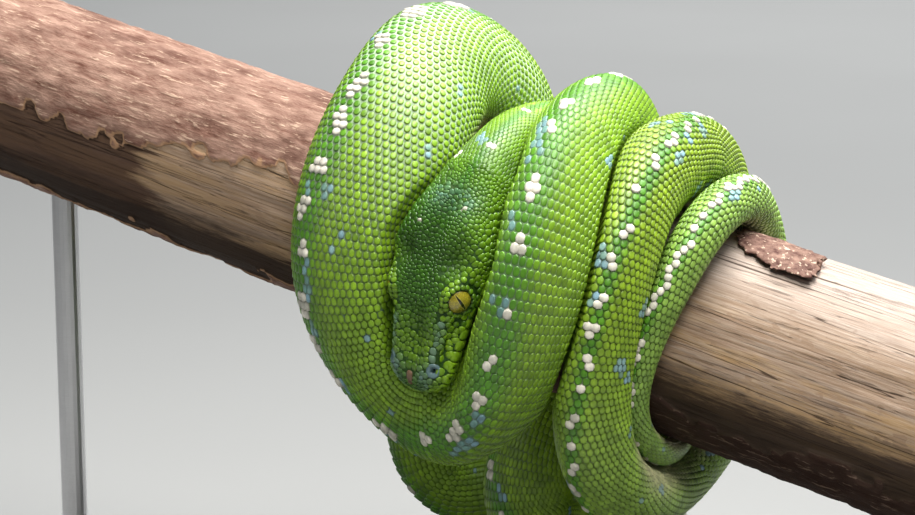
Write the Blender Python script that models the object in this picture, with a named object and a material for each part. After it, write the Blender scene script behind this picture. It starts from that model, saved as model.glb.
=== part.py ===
"""Coiled green tree python on a cut length of branch, held up by a display stand.

The snake lies along one smooth line, its route, from the snout to the tip of the tail. The route's
stops are given in the branch's own directions: along it, out to the front, and up from it. Sections
are set across that line, pressed flat where the body lies against itself or the branch, and joined
into one solid for each named length of the body. Sizes are in millimetres until a mesh is made.
"""

import math

import bmesh
import bpy
import numpy as np

MM = 0.001

# Perch: a nearly straight branch that slopes down to the right (+X) and swells that way.
SLOPE = math.radians(16.0)
ALONG = np.array([math.cos(SLOPE), 0.0, -math.sin(SLOPE)])
FRONT = np.array([0.0, -1.0, 0.0])
UP = np.array([math.sin(SLOPE), 0.0, math.cos(SLOPE)])
BRANCH_RADIUS = 30.5
BRANCH_SWELL = 0.016
BRANCH_HALF_LENGTH = 170.0
BRANCH_RINGS = 12
BRANCH_SIDES = 26
BRANCH_INSET = 0.55
BRANCH_HEIGHT = 150.0

# Unevenness of the branch: depth, how many lobes round it, millimetres along it for one turn's phase.
BRANCH_LOBES = ((0.30, 3.0, 60.0), (0.25, 5.0, -45.0))

# Loose flake of bark on top of the branch, at the right of the coil.
FLAKE_ALONG = 92.0
FLAKE_FRONT = 6.0
FLAKE_LENGTH = 27.0
FLAKE_WIDTH = 16.0
FLAKE_THICKNESS = 1.5
FLAKE_TURN = math.radians(20.0)
FLAKE_CURL = 2.4
FLAKE_TAPER = 0.5
FLAKE_POINTS = 7

# Display stand.
BASE_LENGTH = 360.0
BASE_DEPTH = 190.0
BASE_THICKNESS = 14.0
BASE_CORNER = 16.0
BASE_EDGE = 1.5
CORNER_PARTS = 6
ROD_RADIUS = 4.0
ROD_AT = 128.0
ROD_SOCKET_DEPTH = 14.0
COLLAR_RADIUS = 10.0
COLLAR_HEIGHT = 8.0
POST_SIDES = 20
CLEARANCE = 0.3

# Body: the gap kept where it lies against itself, how sharply a pressed flank turns, how far apart
# along the line two lengths must be before they press, and the share of a bend's radius they fill.
RING_STEP = 9
BODY_SIDES = 16
HEAD_SIDES = 22
BODY_GAP = 0.65
PRESS_SOFTNESS = 0.3
APART = 60.0
NEARBY = 60.0
TIGHTEST = 0.86
KEEL = 0.14
HEAD_GIVE = 0.02
GIVE_LENGTH = 20.0
BODY_FACING = 0.3
BRANCH_FACING = 0.5

# How finely the route is read, and how widely its line, back, sizes and bends are evened out.
ROUTE_SAMPLES = 6000
LINE_BLURS = (8, 6)
BACK_BLUR = 12
SIZE_BLUR = 8
BEND_BLUR = 4

# Head, measured back from the tip of the snout.
HEAD_LENGTH = 58
JAW_LENGTH = 38
NECK_START = 48.0
NECK_BLEND = 16.0
SNOUT_ROUND = 9.0
SNOUT_POWER = 2.5
SNOUT_TIP = 0.15
MOUTH_DROP = 1.6
MOUTH_SLANT = 0.03
JAW_INSET = 0.98
SNOUT_SQUARE = 2.7
CROWN_SQUARE = 2.3
CROWN_BACK = 40.0
HEAD_STEP = 4
EYE_BACK = 28
EYE_RADIUS = 4.8
EYE_SINK = 4.6
EYE_LIFT = 4.2
BALL_SEGMENTS = 16
BALL_RINGS = 10

# Loops that hang behind the branch: centre along, front and up, radius, roll at each end, in degrees.
LOW_LOOP = (11.5, -54.0, -74.0, 18.5, 55.0, 85.0)
HIGH_LOOP = (53.5, -23.0, -66.0, 18.0, -40.0, -30.0)
LOOP_PARTS = 4

# Each stop: along, front, up, and roll in degrees about the line, from belly-to-branch.
HEAD_REST = (
    (16.3, 60.5, -28.3, -25),
    (13.3, 57.0, -0.8, -23),
    (11.0, 51.5, 20.8, -14),
    (12.6, 38.0, 35.8, -2),
)
NECK_OVER = ((13.0, 13.5, 40.3, 0), (18.5, -14.0, 38.0, 0))
NECK_DOWN = ((21.5, -36.0, 20.0, 0), (24.0, -48.0, -8.0, 0), (28.0, -54.0, -42.0, 30))
COIL_A_UP = ((-8.0, -51.0, -44.0, 75), (-6.0, -48.0, -8.0, 55), (-3.0, -40.0, 24.0, 42))
COIL_A = (
    (-8.0, -20.0, 44.5, 40),
    (-18.0, 2.0, 49.5, 42),
    (-17.7, 27.0, 39.5, 60),
    (-16.8, 41.5, 17.1, 84),
    (-12.5, 44.5, -6.3, 90),
    (-0.8, 40.0, -24.5, 85),
)
NEAR_BEND = ((15.5, 38.5, -31.4, 50), (33.0, 48.0, -23.0, 10))
COIL_B = (
    (38.0, 53.0, -3.5, -15),
    (37.0, 52.5, 13.3, -22),
    (34.3, 42.5, 31.0, -22),
    (32.0, 22.5, 42.5, -15),
    (32.0, 0.0, 44.5, 0),
)
COIL_B_DOWN = (
    (34.5, -27.0, 33.0, 0),
    (41.5, -46.5, 6.0, 0),
    (41.0, -42.0, -26.0, -10),
    (36.5, -30.0, -50.0, -30),
)
COIL_C_UP = (
    (70.0, -34.0, -44.0, -25),
    (68.5, -43.5, -20.0, -20),
    (66.5, -46.0, 4.0, -10),
    (61.5, -32.0, 34.0, -5),
)
COIL_C = (
    (56.2, 0.0, 46.5, 5),
    (52.4, 22.0, 43.5, 10),
    (53.9, 38.5, 27.5, 12),
    (56.2, 45.5, 9.0, 12),
    (58.7, 47.5, -10.1, 12),
    (64.6, 42.0, -31.0, 20),
    (75.5, 22.0, -47.5, 20),
)
UNDER_BRANCH = ((83.0, -12.0, -46.0, 10), (87.0, -39.0, -24.0, 0), (84.5, -40.0, 8.0, 0))
COIL_D = (
    (79.0, -20.0, 32.5, 0),
    (75.5, 2.0, 42.0, 0),
    (72.0, 24.0, 36.0, 0),
    (69.2, 35.0, 18.3, 5),
    (67.6, 39.0, -2.0, 5),
    (70.0, 34.0, -21.0, 5),
    (79.0, 14.0, -34.5, 0),
)
TAIL_WRAP = (
    (80.0, -14.0, -33.0, 0),
    (76.0, -34.0, -8.0, 0),
    (75.0, -30.0, 18.0, 0),
    (77.0, -10.0, 32.5, 0),
)

# Full height and width of the body at shares of its length, belly to back and side to side.
GIRTH = (
    (0.030, 19.0, 28.0),
    (0.045, 18.0, 19.0),
    (0.078, 19.0, 19.0),
    (0.140, 25.0, 24.0),
    (0.210, 30.0, 27.0),
    (0.270, 39.0, 30.0),
    (0.330, 43.0, 30.5),
    (0.390, 40.0, 30.5),
    (0.460, 38.0, 29.5),
    (0.520, 34.0, 28.0),
    (0.585, 31.0, 27.0),
    (0.635, 28.0, 26.0),
    (0.690, 26.0, 24.0),
    (0.760, 21.5, 20.5),
    (0.830, 15.5, 16.5),
    (0.880, 12.5, 14.0),
    (0.935, 8.0, 8.0),
    (0.980, 4.5, 4.5),
    (1.000, 1.6, 1.6),
)

# The head's half width, height above its line and depth below it, at millimetres from the snout.
HEAD_FORM = (
    (0.0, 10.6, 5.6, 6.4),
    (6.0, 10.8, 6.2, 6.6),
    (12.0, 11.2, 7.2, 6.9),
    (18.0, 11.7, 8.5, 7.6),
    (24.0, 12.4, 9.6, 8.4),
    (32.0, 14.4, 10.2, 9.2),
    (39.0, 15.3, 10.4, 9.4),
    (47.0, 13.4, 9.9, 9.2),
    (58.0, 9.8, 9.2, 9.0),
)

# Swellings and hollows of the head: height, distance from the snout and its spread, angle from the
# back and its spread. They are the brow, the cheek, the crease of the crown and the hollow cheek.
HEAD_SWELLS = (
    (1.3, 28.0, 5.0, 47.0, 16.0),
    (0.9, 37.0, 8.0, 62.0, 26.0),
    (-0.7, 40.0, 12.0, 0.0, 16.0),
    (-0.8, 12.0, 4.5, 72.0, 16.0),
)

# Named lengths of the body, each with the arc length at which it ends.
LENGTHS = (
    ("neck", 168),
    ("trunk_1", 304),
    ("trunk_2", 432),
    ("trunk_3", 552),
    ("trunk_4", 664),
    ("trunk_5", 784),
    ("trunk_6", 912),
    ("trunk_7", 1040),
    ("trunk_8", 1160),
    ("trunk_9", 1288),
    ("tail_1", 1410),
)
TAIL_END = "tail_2"

SKIN_GREEN = (0.20, 0.48, 0.05, 1.0)
HEAD_GREEN = (0.08, 0.30, 0.04, 1.0)
TAIL_GREEN = (0.26, 0.50, 0.06, 1.0)
EYE_OLIVE = (0.45, 0.42, 0.08, 1.0)
WOOD_TAN = (0.52, 0.36, 0.24, 1.0)
BARK_BROWN = (0.36, 0.17, 0.11, 1.0)
BASE_DARK = (0.045, 0.042, 0.040, 1.0)
ROD_STEEL = (0.60, 0.60, 0.61, 1.0)


def place(stop):
    """A stop's point: along the branch, out to the front and up from it, in millimetres."""
    return stop[0] * ALONG + stop[1] * FRONT + stop[2] * UP


def hanging_loop(along, front, up, radius, roll_in, roll_out):
    """Stops round the bottom of a loop that hangs behind the branch, from right to left."""
    stops = []
    for part in range(LOOP_PARTS + 1):
        share = part / LOOP_PARTS
        turn = math.pi * share
        roll = roll_in + (roll_out - roll_in) * share
        stops.append((along + radius * math.cos(turn), front, up - radius * math.sin(turn), roll))
    return tuple(stops)


def route():
    """All stops from the snout to the tip of the tail."""
    neck = HEAD_REST + NECK_OVER + NECK_DOWN
    first = hanging_loop(*LOW_LOOP) + COIL_A_UP + COIL_A + NEAR_BEND + COIL_B + COIL_B_DOWN
    second = hanging_loop(*HIGH_LOOP)[::-1] + COIL_C_UP + COIL_C
    return neck + first + second + UNDER_BRANCH + COIL_D + TAIL_WRAP


def unit(rows):
    return rows / np.linalg.norm(rows, axis=-1, keepdims=True)


def blur(rows, reach):
    """Each row's mean with its neighbours up to reach away."""
    first = np.repeat(rows[:1], reach, axis=0)
    last = np.repeat(rows[-1:], reach, axis=0)
    padded = np.concatenate([np.zeros_like(rows[:1]), first, rows, last])
    total = np.cumsum(padded, axis=0)
    span = 2 * reach + 1
    return (total[span:] - total[:-span]) / span


def spline(points, count):
    """A smooth curve through the points, as a centripetal Catmull-Rom spline."""
    span = np.linalg.norm(np.diff(points[:, :3], axis=0), axis=1) ** 0.5
    knots = np.concatenate([[0.0], np.cumsum(span)])
    before = (points[1:-1] - points[:-2]) / span[:-1, None]
    after = (points[2:] - points[1:-1]) / span[1:, None]
    across = (points[2:] - points[:-2]) / (span[:-1] + span[1:])[:, None]
    slope = np.empty_like(points)
    slope[1:-1] = before - across + after
    slope[0] = (points[1] - points[0]) / span[0]
    slope[-1] = (points[-1] - points[-2]) / span[-1]
    at = np.linspace(0.0, knots[-1], count)
    i = np.clip(np.searchsorted(knots, at, "right") - 1, 0, len(span) - 1)
    t = ((at - knots[i]) / span[i])[:, None]
    width = span[i][:, None]
    start = (2 * t**3 - 3 * t**2 + 1) * points[i] + (t**3 - 2 * t**2 + t) * width * slope[i]
    end = (3 * t**2 - 2 * t**3) * points[i + 1] + (t**3 - t**2) * width * slope[i + 1]
    return start + end


def evenly(rows):
    """The rows read again at one-millimetre steps along their line."""
    arc = np.concatenate([[0.0], np.cumsum(np.linalg.norm(np.diff(rows[:, :3], axis=0), axis=1))])
    at = np.linspace(0.0, arc[-1], int(round(arc[-1])) + 1)
    return np.stack([np.interp(at, arc, rows[:, k]) for k in range(rows.shape[1])], axis=1)


class Body:
    """The snake's line at one-millimetre steps, with its directions and sizes at each step."""

    def __init__(self):
        stops = np.array([np.append(place(stop), stop[3]) for stop in route()])
        rows = evenly(spline(stops, ROUTE_SAMPLES))
        for reach in LINE_BLURS:
            rows = blur(rows, reach)
        rows = evenly(rows)
        self.line = rows[:, :3]
        self.arc = np.arange(len(rows), dtype=float)
        self.tangent = unit(np.gradient(self.line, axis=0))
        self.bend = blur(np.gradient(self.tangent, axis=0), BEND_BLUR)
        outward = self.line - (self.line @ ALONG)[:, None] * ALONG
        outward = self.square(outward)
        roll = np.radians(rows[:, 3])[:, None]
        back = np.cos(roll) * outward + np.sin(roll) * np.cross(self.tangent, outward)
        self.back = self.square(blur(back, BACK_BLUR))
        self.side = np.cross(self.tangent, self.back)
        share = self.arc / self.arc[-1]
        girth = np.array(GIRTH)
        self.high = blur(np.interp(share, girth[:, 0], girth[:, 1])[:, None], SIZE_BLUR)[:, 0]
        self.wide = blur(np.interp(share, girth[:, 0], girth[:, 2])[:, None], SIZE_BLUR)[:, 0]
        half, _, low = head_sizes(self.arc)
        trunk = trunk_share(self.arc)
        rounding = snout_rounding(self.arc)
        self.reach_aside = trunk * self.wide / 2 + (1.0 - trunk) * half * rounding
        self.reach_up = trunk * self.high / 2 + (1.0 - trunk) * low * rounding

    def square(self, rows):
        """The rows made unit length, at right angles to the line."""
        return unit(rows - np.sum(rows * self.tangent, axis=1)[:, None] * self.tangent)

    def softness(self, steps):
        """How far each step gives way where two lengths meet: hardly at all at the head."""
        behind = np.clip((self.arc[steps] - HEAD_LENGTH) / GIVE_LENGTH, 0.0, 1.0)
        return HEAD_GIVE + (1.0 - HEAD_GIVE) * behind

    def reach(self, steps, directions):
        """The body's half size at each step along each direction."""
        across = np.sum(self.side[steps] * directions, axis=-1) * self.reach_aside[steps]
        upward = np.sum(self.back[steps] * directions, axis=-1) * self.reach_up[steps]
        return np.hypot(across, upward)

    def trunk_section(self, step, turns):
        """A rounded section that is fullest below its middle: across and up, turns from the back."""
        across = self.wide[step] / 2 * np.sin(turns) * (1.0 - KEEL * np.cos(turns))
        upward = self.high[step] / 2 * np.cos(turns)
        return np.stack([across, upward], axis=1)

    def section(self, step, turns):
        """The section at this step, with the head's form at the front and the trunk's behind."""
        trunk = self.trunk_section(step, turns)
        share = trunk_share(self.arc[step])
        if share >= 1.0:
            return trunk
        return head_section(self.arc[step], turns) * (1.0 - share) + trunk * share

    def pressed(self, step, flat):
        """The section's points, moved in its own plane off the other lengths and the branch."""
        frame = np.stack([self.side[step], self.back[step]])
        delta = self.line - self.line[step]
        far = np.linalg.norm(delta, axis=1)
        others = np.nonzero((np.abs(self.arc - self.arc[step]) > APART) & (far < NEARBY))[0]
        toward = delta[others] / far[others][:, None]
        mine = self.reach(np.full(len(others), step), toward)
        clash = mine + self.reach(others, toward) + BODY_GAP - far[others]
        hit = clash > 0.0
        own = self.softness(step)
        share = own / (own + self.softness(others[hit]))
        inside = self.bend[step] @ frame.T
        curve = max(np.linalg.norm(inside), 1e-4)
        plane = np.concatenate([toward[hit] @ frame.T, inside[None] / curve])
        limit = np.append(mine[hit] - clash[hit] * share, TIGHTEST / curve)
        size = np.maximum(np.linalg.norm(plane, axis=1), BODY_FACING)
        plane = plane / size[:, None]
        over = flat @ plane.T - limit / size
        over = PRESS_SOFTNESS * np.logaddexp(0.0, over / PRESS_SOFTNESS)
        worst = over.argmax(axis=1)
        flat = flat - over[np.arange(len(flat)), worst][:, None] * plane[worst]
        points = self.line[step] + flat @ frame
        along = points @ ALONG
        outward = points - along[:, None] * ALONG
        radius = np.linalg.norm(outward, axis=1)
        surface = BRANCH_RADIUS + BRANCH_SWELL * along + BODY_GAP
        lift = PRESS_SOFTNESS * np.logaddexp(0.0, (surface - radius) / PRESS_SOFTNESS)
        plane = (outward / radius[:, None]) @ frame.T
        size = np.maximum(np.linalg.norm(plane, axis=1), BRANCH_FACING)[:, None]
        return flat + lift[:, None] * plane / size**2

    def ring(self, step, flat, shift=0.0):
        """Points in space of a flat section, moved along the line by shift."""
        centre = self.line[step] + shift * self.tangent[step]
        return centre + flat[:, :1] * self.side[step] + flat[:, 1:] * self.back[step]


def bump(value, centre, spread):
    return np.exp(-(((value - centre) / spread) ** 2))


def head_sizes(back):
    """The head's half width, height above its line and depth below it, this far from the snout."""
    form = np.array(HEAD_FORM)
    return tuple(np.interp(back, form[:, 0], form[:, k]) for k in (1, 2, 3))


def snout_rounding(back):
    """How much of its full section the snout has reached, this far from its tip."""
    front = 1.0 - np.clip(back, SNOUT_TIP, SNOUT_ROUND) / SNOUT_ROUND
    return (1.0 - front**SNOUT_POWER) ** (1.0 / SNOUT_POWER)


def trunk_share(back):
    """How far the head's form has given way to the trunk's, from 0 to 1."""
    share = np.clip((back - NECK_START) / NECK_BLEND, 0.0, 1.0)
    return share * share * (3.0 - 2.0 * share)


def head_section(back, turns):
    """A boxy section of the head at this distance from the snout: across and up."""
    half, top, low = head_sizes(back)
    power = 2.0 / np.interp(back, (0.0, CROWN_BACK), (SNOUT_SQUARE, CROWN_SQUARE))
    sine = np.sin(turns)
    cosine = np.cos(turns)
    across = half * np.sign(sine) * np.abs(sine) ** power
    upward = np.where(cosine > 0.0, top, low) * np.sign(cosine) * np.abs(cosine) ** power
    side = np.degrees(np.arccos(np.clip(cosine, -1.0, 1.0)))
    raised = np.zeros(len(turns))
    for height, at, length, angle, spread in HEAD_SWELLS:
        raised += height * bump(back, at, length) * bump(side, angle, spread)
    swell = 1.0 + raised / np.maximum(np.hypot(across, upward), 1.0)
    return np.stack([across * swell, upward * swell], axis=1) * snout_rounding(back)


def mouth_height(back):
    """Height of the line of the mouth, from the head's own line."""
    return -MOUTH_DROP - MOUTH_SLANT * back


def material(name, colour, roughness, metallic=0.0):
    made = bpy.data.materials.new(name)
    made.use_nodes = True
    shader = made.node_tree.nodes["Principled BSDF"]
    shader.inputs["Base Color"].default_value = colour
    shader.inputs["Roughness"].default_value = roughness
    shader.inputs["Metallic"].default_value = metallic
    made.diffuse_color = colour
    return made


def lift_to_world(points):
    """From millimetres about the branch's middle to metres above the floor."""
    return (np.asarray(points) + np.array([0.0, 0.0, BRANCH_HEIGHT])) * MM


def add_mesh(name, points, faces, look):
    mesh = bpy.data.meshes.new(name)
    mesh.from_pydata([tuple(point) for point in points], [], faces)
    mesh.update()
    mesh.shade_smooth()
    mesh.set_sharp_from_angle(angle=math.radians(50.0))
    mesh.materials.append(look)
    made = bpy.data.objects.new(name, mesh)
    bpy.context.scene.collection.objects.link(made)
    return made


def add_tube(name, rings, look):
    """A closed solid through rings of equal counts, with a flat cap at each end."""
    sides = len(rings[0])
    points = lift_to_world(np.concatenate(rings))
    faces = []
    for row in range(len(rings) - 1):
        for k in range(sides):
            a = row * sides + k
            b = row * sides + (k + 1) % sides
            faces.append((a, b, b + sides, a + sides))
    faces.append(tuple(range(sides))[::-1])
    last = (len(rings) - 1) * sides
    faces.append(tuple(last + k for k in range(sides)))
    return add_mesh(name, points, faces, look)


def turns(sides):
    return np.arange(sides) * 2.0 * math.pi / sides


def add_length(body, name, first, last, look):
    """One named length of the body, with half the clearance taken off each end."""
    count = max(2, round((last - first) / RING_STEP))
    steps = np.unique(np.round(np.linspace(first, last, count + 1)).astype(int))
    rings = []
    for step in steps:
        flat = body.pressed(step, body.section(step, turns(BODY_SIDES)))
        shift = CLEARANCE / 2 * (float(step == steps[0]) - float(step == steps[-1]))
        rings.append(body.ring(step, flat, shift))
    return add_tube(name, rings, look)


def head_steps(first, last):
    """Steps along the head, close together where the snout rounds off."""
    close = [step for step in range(first, last + 1) if step < HEAD_STEP or step % HEAD_STEP == 0]
    return sorted({first, last, *close})


def add_head(body, look):
    """The upper head, flat along the mouth, and whole behind the jaw."""
    rings = []
    around = turns(HEAD_SIDES)
    for step in head_steps(0, JAW_LENGTH):
        flat = body.pressed(step, body.section(step, around))
        flat[:, 1] = np.maximum(flat[:, 1], mouth_height(step) + CLEARANCE / 2)
        shift = CLEARANCE if step == JAW_LENGTH else 0.0
        rings.append(body.ring(step, flat, shift))
    for step in head_steps(JAW_LENGTH, HEAD_LENGTH):
        flat = body.pressed(step, body.section(step, around))
        shift = 2 * CLEARANCE if step == JAW_LENGTH else 0.0
        if step == HEAD_LENGTH:
            shift = -CLEARANCE / 2
        rings.append(body.ring(step, flat, shift))
    return add_tube("head", rings, look)


def add_jaw(body, look):
    """The lower jaw, flat along the mouth."""
    rings = []
    for step in head_steps(1, JAW_LENGTH):
        flat = body.pressed(step, body.section(step, turns(HEAD_SIDES)))
        flat[:, 1] = np.minimum(flat[:, 1], mouth_height(step) - CLEARANCE / 2)
        flat[:, 0] *= JAW_INSET
        rings.append(body.ring(step, flat))
    return add_tube("jaw", rings, look)


def eye_centre(body, side):
    """Centre of an eyeball, sunk into the head under the brow. The left eye has side 1."""
    across = side * (head_sizes(EYE_BACK)[0] - EYE_SINK)
    return body.line[EYE_BACK] + across * body.side[EYE_BACK] + EYE_LIFT * body.back[EYE_BACK]


def add_ball(name, centre, radius, look):
    shape = bmesh.new()
    bmesh.ops.create_uvsphere(
        shape, u_segments=BALL_SEGMENTS, v_segments=BALL_RINGS, radius=radius * MM
    )
    bmesh.ops.translate(shape, verts=shape.verts, vec=lift_to_world(centre))
    mesh = bpy.data.meshes.new(name)
    shape.to_mesh(mesh)
    shape.free()
    mesh.shade_smooth()
    mesh.materials.append(look)
    made = bpy.data.objects.new(name, mesh)
    bpy.context.scene.collection.objects.link(made)
    return made


def cut(target, tool):
    """Cuts the tool's shape out of the target and hides the tool."""
    tool.hide_render = True
    tool.display_type = "WIRE"
    change = target.modifiers.new("cut_" + tool.name, "BOOLEAN")
    change.operation = "DIFFERENCE"
    change.object = tool


def add_eyes(body, head, look):
    for name, side in (("eye_left", 1.0), ("eye_right", -1.0)):
        centre = eye_centre(body, side)
        add_ball(name, centre, EYE_RADIUS, look)
        cut(head, add_ball("socket_" + name, centre, EYE_RADIUS + CLEARANCE, look))


def branch_radius(along, around):
    """The branch's radius: a slow swell and a slightly uneven round, inside its smooth outline."""
    radius = BRANCH_RADIUS + BRANCH_SWELL * along - BRANCH_INSET
    for depth, lobes, length in BRANCH_LOBES:
        radius = radius + depth * np.sin(lobes * around + along / length)
    return radius


def branch_ring(along, around, lift=0.0):
    """Points round the branch at this distance along it, turning from the top to the front."""
    radius = branch_radius(along, around) + lift
    outward = np.sin(around)[:, None] * FRONT + np.cos(around)[:, None] * UP
    return along * ALONG + radius[:, None] * outward


def add_branch(look):
    around = -turns(BRANCH_SIDES)
    ends = np.linspace(-BRANCH_HALF_LENGTH, BRANCH_HALF_LENGTH, BRANCH_RINGS)
    return add_tube("perch_branch", [branch_ring(along, around) for along in ends], look)


def add_flake(look):
    """A thin curled plate that lies over the top of the branch."""
    rings = []
    for row in np.linspace(-0.5, 0.5, FLAKE_POINTS):
        half = FLAKE_WIDTH / 2 * (1.0 - FLAKE_TAPER * abs(2.0 * row) ** 3)
        lower = []
        upper = []
        for offset in np.linspace(-half, half, FLAKE_POINTS):
            ahead = row * FLAKE_LENGTH
            along = FLAKE_ALONG + ahead * math.cos(FLAKE_TURN) - offset * math.sin(FLAKE_TURN)
            aside = FLAKE_FRONT + ahead * math.sin(FLAKE_TURN) + offset * math.cos(FLAKE_TURN)
            angle = np.array([aside / BRANCH_RADIUS])
            curl = FLAKE_CURL * (2.0 * offset / FLAKE_WIDTH) ** 2 * (0.4 + row) ** 2
            lift = 2 * CLEARANCE + curl
            lower.append(branch_ring(along, angle, lift)[0])
            upper.append(branch_ring(along, angle, lift + FLAKE_THICKNESS)[0])
        rings.append(np.array(upper + lower[::-1]))
    return add_tube("bark_flake", rings, look)


def add_base(look):
    """A flat plate with round corners and a small bevel round its upper edge."""
    shape = bmesh.new()
    outline = []
    for corner in range(4):
        turn = math.pi / 2 * corner
        centre_x = (BASE_LENGTH / 2 - BASE_CORNER) * (1.0 if corner in (0, 3) else -1.0)
        centre_y = (BASE_DEPTH / 2 - BASE_CORNER) * (1.0 if corner in (0, 1) else -1.0)
        for part in range(CORNER_PARTS + 1):
            angle = turn + math.pi / 2 * part / CORNER_PARTS
            x = centre_x + BASE_CORNER * math.cos(angle)
            y = centre_y + BASE_CORNER * math.sin(angle)
            outline.append(shape.verts.new((x * MM, y * MM, 0.0)))
    floor = shape.faces.new(outline)
    raised = bmesh.ops.extrude_face_region(shape, geom=[floor])["geom"]
    top = [item for item in raised if isinstance(item, bmesh.types.BMVert)]
    bmesh.ops.translate(shape, verts=top, vec=(0.0, 0.0, BASE_THICKNESS * MM))
    rim = [edge for edge in shape.edges if all(vert in top for vert in edge.verts)]
    bmesh.ops.bevel(shape, geom=rim, offset=BASE_EDGE * MM, segments=2, affect="EDGES")
    bmesh.ops.recalc_face_normals(shape, faces=shape.faces)
    mesh = bpy.data.meshes.new("stand_base")
    shape.to_mesh(mesh)
    shape.free()
    mesh.materials.append(look)
    made = bpy.data.objects.new("stand_base", mesh)
    bpy.context.scene.collection.objects.link(made)
    return made


def add_post(name, x, low, high, radius, look):
    """An upright round bar from one height to another, both above the floor."""
    around = turns(POST_SIDES)
    circle = np.stack([x + radius * np.cos(around), radius * np.sin(around)], axis=1)
    rings = []
    for height in (low, high):
        level = np.full((POST_SIDES, 1), height - BRANCH_HEIGHT)
        rings.append(np.concatenate([circle, level], axis=1))
    return add_tube(name, rings, look)


def add_rods(branch, look):
    """Two rods from the base into sockets in the underside of the branch, with a collar each."""
    bore = ROD_RADIUS + CLEARANCE
    low = BASE_THICKNESS + CLEARANCE
    for name, x in (("left", -ROD_AT), ("right", ROD_AT)):
        along = x / math.cos(SLOPE)
        under = BRANCH_RADIUS / math.cos(SLOPE) + BRANCH_SWELL * along
        top = BRANCH_HEIGHT - x * math.tan(SLOPE) - under + ROD_SOCKET_DEPTH
        add_post("stand_rod_" + name, x, low, top, ROD_RADIUS, look)
        collar = add_post("stand_collar_" + name, x, low, low + COLLAR_HEIGHT, COLLAR_RADIUS, look)
        cut(collar, add_post("bore_" + name, x, 0.0, low + 2 * COLLAR_HEIGHT, bore, look))
        socket_low = top - 3 * ROD_SOCKET_DEPTH
        cut(branch, add_post("socket_" + name, x, socket_low, top + CLEARANCE, bore, look))


def main():
    for old in list(bpy.data.objects):
        bpy.data.objects.remove(old)
    body = Body()
    skin = material("skin_green", SKIN_GREEN, 0.45)
    head_skin = material("head_green", HEAD_GREEN, 0.45)
    tail_skin = material("tail_green", TAIL_GREEN, 0.45)
    head = add_head(body, head_skin)
    add_jaw(body, head_skin)
    add_eyes(body, head, material("eye_olive", EYE_OLIVE, 0.1))
    first = HEAD_LENGTH
    for name, last in LENGTHS:
        look = tail_skin if name.startswith("tail") else skin
        add_length(body, name, first, last, look)
        first = last
    add_length(body, TAIL_END, first, len(body.arc) - 1, tail_skin)
    branch = add_branch(material("perch_wood", WOOD_TAN, 0.8))
    add_flake(material("bark", BARK_BROWN, 0.9))
    add_base(material("stand_base_dark", BASE_DARK, 0.5))
    add_rods(branch, material("stand_steel", ROD_STEEL, 0.3, 1.0))


main()
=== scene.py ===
"""Coiled green tree python: the looks of its skin, scales, eyes, perch and display stand.

The body is shaped again here along the same line as the solids that it stands for, a little
inside them, as one skin. Every scale is a small plate seated on that skin. Lengths of the body
are in millimetres until a mesh is made, and its places are given as the distance from the tip
of the snout and the share of the way round from the back, -1 to 1, with the belly at both ends.
"""

import functools
import math

import bmesh
import bpy
import numpy as np
from bpy.props import FloatProperty, FloatVectorProperty, IntProperty, PointerProperty
from mathutils import Matrix, Vector, kdtree


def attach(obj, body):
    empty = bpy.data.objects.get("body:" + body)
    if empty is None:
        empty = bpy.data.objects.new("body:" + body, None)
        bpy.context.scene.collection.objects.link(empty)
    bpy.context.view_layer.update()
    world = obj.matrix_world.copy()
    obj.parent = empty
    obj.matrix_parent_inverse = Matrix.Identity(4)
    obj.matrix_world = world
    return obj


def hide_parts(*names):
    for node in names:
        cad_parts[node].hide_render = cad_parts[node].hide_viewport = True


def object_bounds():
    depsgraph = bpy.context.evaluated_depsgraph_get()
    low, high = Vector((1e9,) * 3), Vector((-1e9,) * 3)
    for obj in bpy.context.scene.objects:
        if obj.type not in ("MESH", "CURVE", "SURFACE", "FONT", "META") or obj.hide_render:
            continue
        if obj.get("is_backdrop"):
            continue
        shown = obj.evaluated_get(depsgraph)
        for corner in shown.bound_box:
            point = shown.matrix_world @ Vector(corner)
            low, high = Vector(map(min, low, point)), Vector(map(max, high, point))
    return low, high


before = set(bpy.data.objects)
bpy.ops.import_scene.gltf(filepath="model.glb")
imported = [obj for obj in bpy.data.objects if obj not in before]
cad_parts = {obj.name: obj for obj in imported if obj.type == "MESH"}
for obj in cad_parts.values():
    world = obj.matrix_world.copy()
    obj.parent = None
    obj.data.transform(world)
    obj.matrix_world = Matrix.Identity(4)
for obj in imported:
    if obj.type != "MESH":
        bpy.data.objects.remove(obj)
CAD_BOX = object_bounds()

bl_info = {
    "name": "Coiled tree python model",
    "version": (1, 0, 0),
    "blender": (4, 5, 0),
    "location": "View3D > Sidebar > Python",
    "description": "Skin, scales, eyes, perch and stand of a life-size coiled tree python",
    "category": "Object",
}

MM = 0.001

# Perch, as in the solids: a branch that slopes down to the right and swells that way.
SLOPE = math.radians(16.0)
ALONG = np.array([math.cos(SLOPE), 0.0, -math.sin(SLOPE)])
FRONT = np.array([0.0, -1.0, 0.0])
UP = np.array([math.sin(SLOPE), 0.0, math.cos(SLOPE)])
BRANCH_RADIUS = 30.5
BRANCH_SWELL = 0.016
BRANCH_HALF_LENGTH = 170.0
BRANCH_HEIGHT = 150.0
BRANCH_INSET = 0.55
BRANCH_LOBES = ((0.30, 3.0, 60.0), (0.25, 5.0, -45.0))
FLAKE_ALONG = 92.0
FLAKE_FRONT = 6.0
FLAKE_LENGTH = 27.0
FLAKE_WIDTH = 16.0
FLAKE_TURN = math.radians(20.0)

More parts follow.
